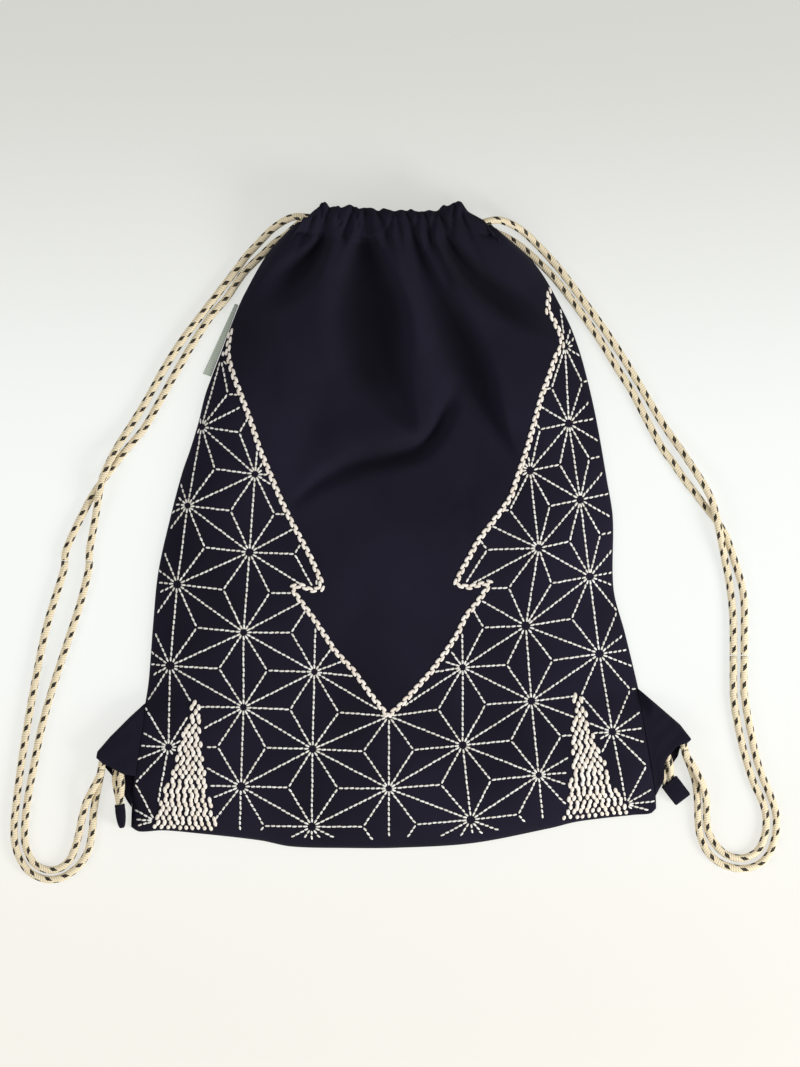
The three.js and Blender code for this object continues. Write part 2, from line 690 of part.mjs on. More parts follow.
add(
  "left_border_stitching",
  border([
    [[-110, 106], [-96.4, 69.9], [-85.5, 39.3], [-69.5, 3.3], [-49, -41]],
    [[-47.6, -42], [-69.5, -41]],
    [[-68.6, -39.6], [-52.8, -64.7], [-27.7, -97.4], [-5.4, -126]],
  ]),
  COLOURS.thread,
);
add(
  "right_border_stitching",
  border([
    [[109.6, 116], [104.9, 100.5], [94.7, 67.9], [83.2, 31.1], [63.8, -1.5], [42.6, -40]],
    [[41.4, -41], [65.5, -39.6]],
    [[64.6, -38], [48.8, -61], [25.4, -98.7], [1.6, -125]],
  ]),
  COLOURS.thread,
);

// Filled triangle that follows the panel.
function threadTriangle(apex, left, right) {
  const rows = 9;
  const points = [];
  const faces = [];
  const index = new Map();
  for (const side of [0, 1]) {
    for (let i = 0; i <= rows; i++) {
      for (let j = 0; j <= i; j++) {
        const t = i / rows;
        const s = i ? j / i : 0;
        const x = apex[0] + (left[0] + (right[0] - left[0]) * s - apex[0]) * t;
        const y = apex[1] + (left[1] + (right[1] - left[1]) * s - apex[1]) * t;
        index.set(`${side},${i},${j}`, points.length);
        points.push([x, y, frontAt(x, y) + THREAD_LIFT + side * FILL_HEIGHT]);
      }
    }
  }
  const at = (side, i, j) => index.get(`${side},${i},${j}`);
  for (let i = 0; i < rows; i++) {
    for (let j = 0; j <= i; j++) {
      for (const side of [0, 1]) {
        const one = [at(side, i, j), at(side, i + 1, j), at(side, i + 1, j + 1)];
        faces.push(side ? one : one.reverse());
        if (j < i) {
          const two = [at(side, i, j), at(side, i + 1, j + 1), at(side, i, j + 1)];
          faces.push(side ? two : two.reverse());
        }
      }
    }
  }
  const rim = [];
  for (let i = 0; i < rows; i++) rim.push([i, 0]);
  for (let j = 0; j < rows; j++) rim.push([rows, j]);
  for (let i = rows; i > 0; i--) rim.push([i, i]);
  rim.forEach(([i, j], k) => {
    const [s, t] = rim[(k + 1) % rim.length];
    faces.push([at(0, i, j), at(0, s, t), at(1, s, t)], [at(0, i, j), at(1, s, t), at(1, i, j)]);
  });
  return facingOut(points, faces);
}

add(
  "left_triangle_stitching",
  threadTriangle([-133.4, -112.1], [-163, -196], [-120.8, -198]),
  COLOURS.thread,
);
add(
  "right_triangle_stitching",
  threadTriangle([122.4, -107.6], [116.2, -190], [157, -186]),
  COLOURS.thread,
);

export default bag;
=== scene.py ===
"""Drawstring knapsack of dark cotton with white stitching and cream braided cord.

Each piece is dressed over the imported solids, in their frame. Shapes are worked out in
millimetres, as a sewer measures them, and turned to metres where a mesh is made.
"""

import logging
import math
from collections.abc import Sequence
from dataclasses import dataclass
from enum import Enum

import bpy
import numpy as np
from bpy.types import GeometryNodeTree, ID, Material, Node, NodeSocket, NodeTree, Object
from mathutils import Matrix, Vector
from mathutils.kdtree import KDTree


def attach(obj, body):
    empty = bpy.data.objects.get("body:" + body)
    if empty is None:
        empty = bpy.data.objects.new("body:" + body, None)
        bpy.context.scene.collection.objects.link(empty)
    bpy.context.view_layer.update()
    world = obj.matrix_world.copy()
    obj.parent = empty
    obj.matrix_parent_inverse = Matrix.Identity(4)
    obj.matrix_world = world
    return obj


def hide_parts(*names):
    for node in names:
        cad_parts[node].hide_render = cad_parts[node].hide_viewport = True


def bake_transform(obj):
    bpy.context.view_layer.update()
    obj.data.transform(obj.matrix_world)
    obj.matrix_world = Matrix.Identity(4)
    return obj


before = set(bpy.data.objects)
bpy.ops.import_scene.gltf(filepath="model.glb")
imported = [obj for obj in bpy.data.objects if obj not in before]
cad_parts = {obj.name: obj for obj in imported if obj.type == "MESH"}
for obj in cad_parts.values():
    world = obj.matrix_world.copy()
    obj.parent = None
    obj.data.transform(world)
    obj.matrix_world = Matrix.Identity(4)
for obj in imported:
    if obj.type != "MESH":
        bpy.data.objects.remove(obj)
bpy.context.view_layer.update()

log = logging.getLogger("knapsack")

MM = 0.001
SEED = 20
# Scale of a wave texture at which one band is one unit long.
WAVE_BAND = 0.314159

Array = np.ndarray
Pair = tuple[float, float]
Triple = tuple[float, float, float]
Line = tuple[Pair, ...]
Route = tuple[Pair | Triple, ...]


class Side(Enum):
    """Side of the bag, seen from above with the mouth at the top."""

    LEFT = "left"
    RIGHT = "right"

    @property
    def sign(self) -> int:
        """Direction of the side along X."""
        return -1 if self is Side.LEFT else 1


class Body(Enum):
    """Bodies of the frame that carry the pieces."""

    BAG = "bag"
    LEFT_DRAWCORD = "left_drawcord"
    RIGHT_DRAWCORD = "right_drawcord"
    LEFT_TAB = "left_tab"
    RIGHT_TAB = "right_tab"
    LABEL = "label"


class Slot(Enum):
    """Names of the material slots."""

    CLOTH = "cloth"
    CORD = "cord"
    THREAD = "thread"
    LABEL = "label"


def linear(code: str) -> tuple[float, float, float, float]:
    """Turn an sRGB hex colour to linear light.

    Args:
        code: Colour as "#rrggbb".

    Returns:
        Linear red, green and blue, and an alpha of 1.
    """
    channels = [int(code[k : k + 2], 16) / 255 for k in (1, 3, 5)]
    red, green, blue = [c / 12.92 if c <= 0.04045 else ((c + 0.055) / 1.055) ** 2.4 for c in channels]
    return red, green, blue, 1.0


def smoothstep(low: float, high: float, value: Array) -> Array:
    """Ease from 0 at low to 1 at high.

    Args:
        low: Value where the rise starts.
        high: Value where the rise ends.
        value: Values to look up.

    Returns:
        Shares from 0 to 1.
    """
    share = np.clip((np.asarray(value, float) - low) / (high - low), 0, 1)
    return share * share * (3 - 2 * share)


def mix(start: Array | float, end: Array | float, share: Array | float) -> Array:
    """Blend from start to end by share."""
    return start + (np.asarray(end) - start) * share


def through(points: Line | Array, at: Array) -> Array:
    """Read a smooth curve through given points.

    Args:
        points: Place and value of each point, the places rising.
        at: Places to read.

    Returns:
        Values of the curve there.
    """
    k, f = np.asarray(points, float).T
    slope = np.empty_like(f)
    slope[1:-1] = (f[2:] - f[:-2]) / (k[2:] - k[:-2])
    slope[0] = (f[1] - f[0]) / (k[1] - k[0])
    slope[-1] = (f[-1] - f[-2]) / (k[-1] - k[-2])
    x = np.clip(np.asarray(at, float), k[0], k[-1])
    i = np.clip(np.searchsorted(k, x) - 1, 0, len(k) - 2)
    span = k[i + 1] - k[i]
    t = (x - k[i]) / span
    near = f[i] * (1 + 2 * t) * (1 - t) ** 2 + slope[i] * span * t * (1 - t) ** 2
    return near + f[i + 1] * t * t * (3 - 2 * t) + slope[i + 1] * span * t * t * (t - 1)


def unit(rows: Array) -> Array:
    """Scale each row to a length of 1."""
    return rows / np.linalg.norm(rows, axis=1, keepdims=True)


def run_along(line: Array) -> Array:
    """Measure the way from a line's first point to each of its points.

    Args:
        line: Points of the line, one a row; an axis before them holds more lines.

    Returns:
        One distance for each point.
    """
    steps = np.diff(line, axis=-2, prepend=line[..., :1, :])
    return np.cumsum(np.linalg.norm(steps, axis=-1), axis=-1)


def spread(line: Array, count: int) -> Array:
    """Space a fixed number of points evenly along a line.

    Args:
        line: Points of the line, one a row.
        count: Number of points wanted.

    Returns:
        That many points, with the line's first and last kept.
    """
    run = run_along(line)
    at = np.linspace(0, run[-1], count)
    return np.stack([np.interp(at, run, column) for column in line.T], axis=1)


def evenly(line: Array, step: float) -> Array:
    """Space the points of a line evenly.

    Args:
        line: Points of the line, one a row.
        step: Distance wanted between neighbours.

    Returns:
        Points on the line with its first and last kept.
    """
    return spread(line, max(2, round(float(run_along(line)[-1]) / step) + 1))


def smooth_route(points: Sequence[Sequence[float]], step: float) -> Array:
    """Run a centripetal spline through the points of a route.

    Args:
        points: Route points in millimetres.
        step: Distance between the points that come back.

    Returns:
        Evenly spaced points along the spline.
    """
    p = np.asarray(points, float)
    p = np.vstack([2 * p[0] - p[1], p, 2 * p[-1] - p[-2]])
    gap = np.linalg.norm(np.diff(p, axis=0), axis=1) ** 0.5
    t = np.linspace(0, 1, 24, endpoint=False)[:, None]
    runs = []
    for i in range(1, len(p) - 2):
        a, b, c = gap[i - 1 : i + 2]
        chord = p[i + 1] - p[i]
        first = ((p[i] - p[i - 1]) / a - (p[i + 1] - p[i - 1]) / (a + b) + chord / b) * b
        last = (chord / b - (p[i + 2] - p[i]) / (b + c) + (p[i + 2] - p[i + 1]) / c) * b
        bend = 3 * chord - 2 * first - last
        runs.append(p[i] + first * t + bend * t**2 + (first + last - 2 * chord) * t**3)
    return evenly(np.vstack([*runs, p[-2:-1]]), step)


def inside(polygon: Array, points: Array) -> Array:
    """Tell which points lie in a polygon.

    Args:
        polygon: Corners in the plane, in order.
        points: Points in the plane.

    Returns:
        One truth value for each point.
    """
    found = np.zeros(len(points), bool)
    x, y = points.T
    for a, b in zip(polygon, np.roll(polygon, -1, axis=0)):
        crosses = (a[1] > y) != (b[1] > y)
        rise = b[1] - a[1] if b[1] != a[1] else 1.0
        found ^= crosses & (x < a[0] + (b[0] - a[0]) * (y - a[1]) / rise)
    return found


def nearness(targets: Array, points: Array) -> Array:
    """Measure how far each point is from the nearest target.

    Args:
        targets: Points in the plane that are measured to.
        points: Points in the plane that are measured from.

    Returns:
        Distances, in the points' own unit.
    """
    tree = KDTree(len(targets))
    for index, (x, y) in enumerate(targets):
        tree.insert((x, y, 0), index)
    tree.balance()
    return np.array([tree.find((x, y, 0))[2] for x, y in points])


def add_node(
    tree: NodeTree, kind: str, inputs: dict[str | int, object] | None = None, **settings: object
) -> Node:
    """Add one node with its settings, values and links.

    Args:
        tree: Tree that gets the node.
        kind: Node type.
        inputs: Value, or output to link, for each input by name or number.
        **settings: Properties of the node.

    Returns:
        The new node.
    """
    node = tree.nodes.new(kind)
    for key, value in settings.items():
        setattr(node, key, value)
    for key, value in (inputs or {}).items():
        if isinstance(value, NodeSocket):
            tree.links.new(value, node.inputs[key])
        else:
            node.inputs[key].default_value = value
    return node


def blank_material(name: str) -> Material:
    """Make a material with an empty node tree."""
    material = bpy.data.materials.new(name)
    material.use_nodes = True
    material.node_tree.nodes.clear()
    return material


def new_object(name: str, data: ID) -> Object:
    """Put a mesh, a lamp or a camera in the scene at the origin."""
    obj = bpy.data.objects.new(name, data)
    bpy.context.scene.collection.objects.link(obj)
    return obj


def settle(obj: Object) -> Object:
    """Turn an object's modifiers into plain mesh.

    Args:
        obj: Object with live modifiers.

    Returns:
        The same object with none.
    """
    graph = bpy.context.evaluated_depsgraph_get()
    final = obj.evaluated_get(graph)
    mesh = bpy.data.meshes.new_from_object(final, preserve_all_data_layers=True, depsgraph=graph)
    raw = obj.data
    obj.modifiers.clear()
    obj.data = mesh
    bpy.data.meshes.remove(raw)
    mesh.name = obj.name
    mesh.shade_smooth()
    return obj


def grid_piece(
    name: str,
    points: Array,
    uv: Array,
    material: Material,
    flip: bool = False,
    closed: bool = False,
    capped: bool = False,
) -> Object:
    """Make a piece from rows and columns of points.

    Args:
        name: Name of the piece.
        points: Rows by columns by 3, in millimetres.
        uv: Rows by columns by 2; a closed piece has one column more, for its seam.
        material: Finish of the piece.
        flip: True where the faces have to turn the other way.
        closed: True where the last column joins the first.
        capped: True where the first and last row are closed by a face.

    Returns:
        The piece, in metres.
    """
    rows, columns = points.shape[:2]
    i, j = np.meshgrid(np.arange(rows - 1), np.arange(columns if closed else columns - 1), indexing="ij")
    i = i.ravel()
    j = j.ravel()
    around = [(i, j), (i, j + 1), (i + 1, j + 1), (i + 1, j)]
    if flip:
        around.reverse()
    quads = np.stack([r * columns + c % columns for r, c in around], axis=1)
    corners = np.stack([uv[r, c] for r, c in around], axis=1).reshape(-1, 2)
    faces = quads.tolist()
    if capped:
        ends = [list(range(columns)), [(rows - 1) * columns + c for c in reversed(range(columns))]]
        faces += [list(reversed(end)) for end in ends] if not flip else ends
        caps = [np.repeat(uv[row, :1], columns, axis=0) for row in (0, -1)]
        corners = np.vstack([corners, *caps])
    mesh = bpy.data.meshes.new(name)
    mesh.from_pydata((points.reshape(-1, 3) * MM).tolist(), [], faces)
    layer = mesh.uv_layers.new(name="UVMap")
    layer.data.foreach_set("uv", corners.astype(np.float32).ravel())
    mesh.materials.append(material)
    mesh.shade_smooth()
    return new_object(name, mesh)


def thicken(obj: Object, thickness: float) -> Object:
    """Give a sheet its thickness on the inner side.

    Args:
        obj: Sheet of faces that point outwards.
        thickness: Cloth thickness in millimetres.

    Returns:
        The same object, closed.
    """
    wall = obj.modifiers.new("cloth_thickness", "SOLIDIFY")
    wall.thickness = thickness * MM
    wall.offset = -1.0
    return settle(obj)


@dataclass(frozen=True)
class Bend:
    """Stretch of a piece, in metres, along which a second body takes it over."""

    body: Body
    start: Triple
    end: Triple


def place(obj: Object, body: Body, slot: Slot, *nodes: str, bend: Bend | None = None) -> Object:
    """Let a piece ride on a body, or bake it in place when a bend is given, and stand for its solids.

    Args:
        obj: Finished piece.
        body: Body that carries it.
        slot: Not used.
        *nodes: Solids that it replaces.
        bend: Stretch where a second body takes over.

    Returns:
        The same piece.
    """
    carriers = body.value
    if bend is None:
        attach(obj, body.value)
    else:
        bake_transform(obj)
        carriers = f"{body.value} and {bend.body.value}"
    if nodes:
        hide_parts(*nodes)
    log.info("%s on %s: %d faces", obj.name, carriers, len(obj.data.polygons))
    return obj


def end_in_fabric(
    tree: NodeTree,
    colour: NodeSocket,
    height: NodeSocket,
    relief: Pair,
    looks: dict[str, float],
    invert: bool = False,
) -> None:
    """End a material in a surface with the relief of its threads.

    Args:
        tree: Tree of the material.
        colour: Colour of the surface.
        height: Height of the threads.
        relief: Strength and depth of the relief, the depth in metres.
        looks: Other values of the surface by their names.
        invert: True where the height counts downwards.
    """
    threads = {"Strength": relief[0], "Distance": relief[1], "Height": height}
    bump = add_node(tree, "ShaderNodeBump", threads, invert=invert)
    surface = {"Base Color": colour, "Normal": bump.outputs[0], **looks}
    shader = add_node(tree, "ShaderNodeBsdfPrincipled", surface)
    add_node(tree, "ShaderNodeOutputMaterial", {"Surface": shader.outputs[0]})


@dataclass(frozen=True)
class IndigoCotton:
    """Plain-woven cotton, dyed almost black.

    It is matt and of uneven depth; painted shade darkens it in the deep fold valleys.
    """

    name: str = "indigo_cotton_plain_weave"
    deep: str = "#191820"
    faded: str = "#252231"
    # Colour of the painted shade in the deepest folds, and how much of it is mixed in.
    kept: str = "#0d0d10"
    painted_shade_share: float = 0.48
    weave_mm: float = 1.3
    weave_share: float = 0.3
    patch_mm: float = 90.0
    patch_detail: float = 5.0
    patch_range: Pair = (0.3, 0.7)
    patch_share: float = 0.7
    relief: Pair = (0.35, 0.00012)
    roughness: float = 0.92
    gloss: float = 0.03
    sheen: Pair = (0.02, 0.5)

    def material(self) -> Material:
        """Build the cloth; the real 0.4 mm weave is drawn at weave_mm so that it shows."""
        material = blank_material(self.name)
        tree = material.node_tree
        uv = add_node(tree, "ShaderNodeUVMap", uv_map="UVMap").outputs[0]
        bands = {"Vector": uv, "Scale": WAVE_BAND / (self.weave_mm * MM)}
        warp, weft = (
            add_node(tree, "ShaderNodeTexWave", bands, bands_direction=way).outputs["Fac"] for way in "XY"
        )
        weave = add_node(tree, "ShaderNodeMath", {0: warp, 1: weft}, operation="MULTIPLY").outputs[0]
        patches = {"Vector": uv, "Scale": 1 / (self.patch_mm * MM), "Detail": self.patch_detail}
        dye = add_node(tree, "ShaderNodeTexNoise", patches).outputs["Fac"]
        low, high = self.patch_range
        fading = {"Value": dye, "From Min": low, "From Max": high, "To Max": self.patch_share}
        depth = add_node(tree, "ShaderNodeMapRange", fading).outputs[0]
        terms = {0: weave, 1: self.weave_share, 2: depth}
        shade = add_node(tree, "ShaderNodeMath", terms, operation="MULTIPLY_ADD").outputs[0]
        dyes = {0: shade, 6: linear(self.deep), 7: linear(self.faded)}
        worn = add_node(tree, "ShaderNodeMix", dyes, data_type="RGBA").outputs[2]
        # Painted shade: the colour darkens towards the painted shade colour where the fold mask marks deep
        # valleys.
        painted_fold_shade = add_node(tree, "ShaderNodeAttribute", attribute_name="painted_fold_shade").outputs["Fac"]
        painted_shade_terms = {0: painted_fold_shade, 1: self.painted_shade_share}
        painted_shade_amount = add_node(tree, "ShaderNodeMath", painted_shade_terms, operation="MULTIPLY").outputs[0]
        tones = {0: painted_shade_amount, 6: worn, 7: linear(self.kept)}
        colour = add_node(tree, "ShaderNodeMix", tones, data_type="RGBA").outputs[2]
        looks = {
            "Roughness": self.roughness,
            "Specular IOR Level": self.gloss,
            "Sheen Weight": self.sheen[0],
            "Sheen Roughness": self.sheen[1],
        }
        end_in_fabric(tree, colour, weave, self.relief, looks)
        return material


@dataclass(frozen=True)
class CottonThread:
    """Soft twisted cotton thread: matt and fibrous, each stitch a little lighter or darker than the next."""

    name: str
    light: str
    shaded: str
    fibre_mm: float = 0.5
    relief: Pair = (0.3, 0.0002)
    roughness: float = 0.85
    gloss: float = 0.25
    sheen: float = 0.15

    def material(self) -> Material:
        """Build the thread; its fibres are drawn at fibre_mm, coarser than real, so that they show."""
        material = blank_material(self.name)
        tree = material.node_tree
        tint = add_node(tree, "ShaderNodeAttribute", attribute_name="tint").outputs["Fac"]
        spot = add_node(tree, "ShaderNodeTexCoord").outputs["Object"]
        fibres = {"Vector": spot, "Scale": 1 / (self.fibre_mm * MM), "Detail": 2.0}
        fibre = add_node(tree, "ShaderNodeTexNoise", fibres).outputs["Fac"]
        tones = {0: tint, 6: linear(self.light), 7: linear(self.shaded)}
        colour = add_node(tree, "ShaderNodeMix", tones, data_type="RGBA").outputs[2]
        looks = {"Roughness": self.roughness, "Specular IOR Level": self.gloss, "Sheen Weight": self.sheen}
        end_in_fabric(tree, colour, fibre, self.relief, looks)
        return material


@dataclass(frozen=True)
class FleckedBraid:
    """Braided polyester cord, cream with black marker yarns.

    It has fine slanting ribs and rows of short dark flecks.
    """
    name: str = "braided_cream_cord_black_flecks"
    cream: str = "#f6ebd2"
    groove_painted_shade: str = "#dcc89d"
    fleck: str = "#0b0a0d"
    rib_mm: float = 1.6
    repeat_mm: float = 12.1
    stripe_mm: float = 1.25
    stripes: float = 3.0
    stripe_share: float = 0.95
    stripe_slant: float = 0.9
    half_width_mm: float = 1.35
    rows: float = 4.0
    girth_mm: float = 15.7
    row_twist: float = 0.0016
    rib_turns: float = 2.0
    fleck_lead_mm: float = 1.0
    relief: Pair = (0.5, 0.0003)
    roughness: float = 0.75
    gloss: float = 0.15
    sheen: float = 0.03

    def material(self) -> Material:
        """Build the braid on the cord's own map, with painted shade in the grooves between ribs; its 1 mm
        ribs are drawn at rib_mm so that they show.
        """
        material = blank_material(self.name)
        tree = material.node_tree
        uv = add_node(tree, "ShaderNodeUVMap", uv_map="UVMap").outputs[0]
        split = add_node(tree, "ShaderNodeSeparateXYZ", {0: uv})
        sums: dict[str, NodeSocket] = {"metres": split.outputs[0], "around": split.outputs[1]}
        steps: tuple[tuple[str, str, tuple[str | float, ...]], ...] = (
            ("along", "DIVIDE", ("metres", MM)),
            ("twisted", "MULTIPLY_ADD", ("along", self.row_twist, "around")),
            ("lane", "MULTIPLY", ("twisted", self.rows)),
            ("row", "FLOOR", ("lane",)),
            ("lane_share", "FRACT", ("lane",)),
            ("aside", "SUBTRACT", ("lane_share", 0.5)),
            ("across", "MULTIPLY", ("aside", self.girth_mm / self.rows)),
            ("half_row", "MULTIPLY", ("row", 0.5)),
            ("odd_row", "FRACT", ("half_row",)),
            ("staggered", "MULTIPLY_ADD", ("odd_row", self.repeat_mm, "along")),
            ("repeats", "DIVIDE", ("staggered", self.repeat_mm)),
            ("turn", "FRACT", ("repeats",)),
            ("reach", "MULTIPLY_ADD", ("turn", self.repeat_mm, -self.fleck_lead_mm)),
            ("slanted", "MULTIPLY_ADD", ("across", self.stripe_slant, "reach")),
            ("stripe", "DIVIDE", ("slanted", self.stripe_mm)),
            ("stripe_part", "FRACT", ("stripe",)),
            ("dash", "LESS_THAN", ("stripe_part", self.stripe_share)),
            ("begun", "GREATER_THAN", ("stripe", 0.0)),
            ("unended", "LESS_THAN", ("stripe", self.stripes)),
            ("offside", "ABSOLUTE", ("across",)),
            ("narrow", "LESS_THAN", ("offside", self.half_width_mm)),
            ("within", "MULTIPLY", ("begun", "unended")),
            ("marked", "MULTIPLY", ("dash", "narrow")),
            ("dark", "MULTIPLY", ("within", "marked")),
            ("ribs", "DIVIDE", ("along", self.rib_mm)),
            ("wound", "MULTIPLY_ADD", ("around", self.rib_turns, "ribs")),
            ("angle", "MULTIPLY", ("wound", math.tau)),
            ("wave", "SINE", ("angle",)),
            ("rib", "MULTIPLY_ADD", ("wave", 0.5, 0.5)),
        )
        for name, operation, terms in steps:
            inputs = {number: sums.get(term, term) for number, term in enumerate(terms)}
            sums[name] = add_node(tree, "ShaderNodeMath", inputs, operation=operation).outputs[0]
        # Painted shade: the grooves between the ribs are coloured darker than the cream.
        ribs = {0: sums["rib"], 6: linear(self.cream), 7: linear(self.groove_painted_shade)}
        yarn_with_groove_shade = add_node(tree, "ShaderNodeMix", ribs, data_type="RGBA").outputs[2]
        flecks = {0: sums["dark"], 6: yarn_with_groove_shade, 7: linear(self.fleck)}
        colour = add_node(tree, "ShaderNodeMix", flecks, data_type="RGBA").outputs[2]
        looks = {"Roughness": self.roughness, "Specular IOR Level": self.gloss, "Sheen Weight": self.sheen}
        end_in_fabric(tree, colour, sums["rib"], self.relief, looks, invert=True)
        return material


@dataclass(frozen=True)
class WovenTape:
    """Narrow woven polyester tape: pale, thin and faintly ribbed across."""

    name: str = "woven_label_tape"
    pale: str = "#c3cbbd"
    rib: str = "#a9b3a5"
    rib_mm: float = 1.5
    unevenness: float = 0.6
    relief: Pair = (0.4, 0.0001)
    roughness: float = 0.75

    def material(self) -> Material:
        """Build the tape; its ribs are drawn at rib_mm, coarser than real, so that they show."""
        material = blank_material(self.name)
        tree = material.node_tree
        uv = add_node(tree, "ShaderNodeUVMap", uv_map="UVMap").outputs[0]
        bands = {"Vector": uv, "Scale": WAVE_BAND / (self.rib_mm * MM), "Distortion": self.unevenness}
        ribs = add_node(tree, "ShaderNodeTexWave", bands, bands_direction="Y").outputs["Fac"]
        tones = {0: ribs, 6: linear(self.rib), 7: linear(self.pale)}
        colour = add_node(tree, "ShaderNodeMix", tones, data_type="RGBA").outputs[2]
        end_in_fabric(tree, colour, ribs, self.relief, {"Roughness": self.roughness})
        return material


@dataclass(frozen=True)
class Fold:
    """Soft fold of the front cloth.

    Its points hold X, Y, half width and rise along its middle line, in millimetres.
    """
    points: tuple[tuple[float, float, float, float], ...]
    left_share: float = 1.0
    right_share: float = 1.0
    squareness: float = 2.0
    step: float = 6.0
    reach: float = 3.0

    def height(self, x: Array, y: Array) -> Array:
        """Give the fold's height.

        Args:
            x: X of the places.
            y: Y of the places.

        Returns:
            Height in millimetres, below 0 in a valley.
        """
        line = smooth_route(self.points, self.step)
        margin = self.reach * line[:, 2].max()
        low = line.min(axis=0) - margin
        high = line.max(axis=0) + margin
        close = (x > low[0]) & (x < high[0]) & (y > low[1]) & (y < high[1])
        px = x[close]
        py = y[close]
        nearest = np.full(px.shape, np.inf)
        rise = np.zeros(px.shape)
        for start, end in zip(line, line[1:]):
            way = (end - start)[:2]
            dx = px - start[0]
            dy = py - start[1]
            share = np.clip((dx * way[0] + dy * way[1]) / (way @ way), 0, 1)
            away = np.hypot(dx - way[0] * share, dy - way[1] * share)
            hand = np.where(way[0] * dy > way[1] * dx, self.left_share, self.right_share)
            width = mix(start[2], end[2], share) * hand
            here = mix(start[3], end[3], share) * np.exp(-((away / width) ** self.squareness))
            rise = np.where(away < nearest, here, rise)
            nearest = np.minimum(away, nearest)
        whole = np.zeros(np.shape(x))
        whole[close] = rise
        return whole


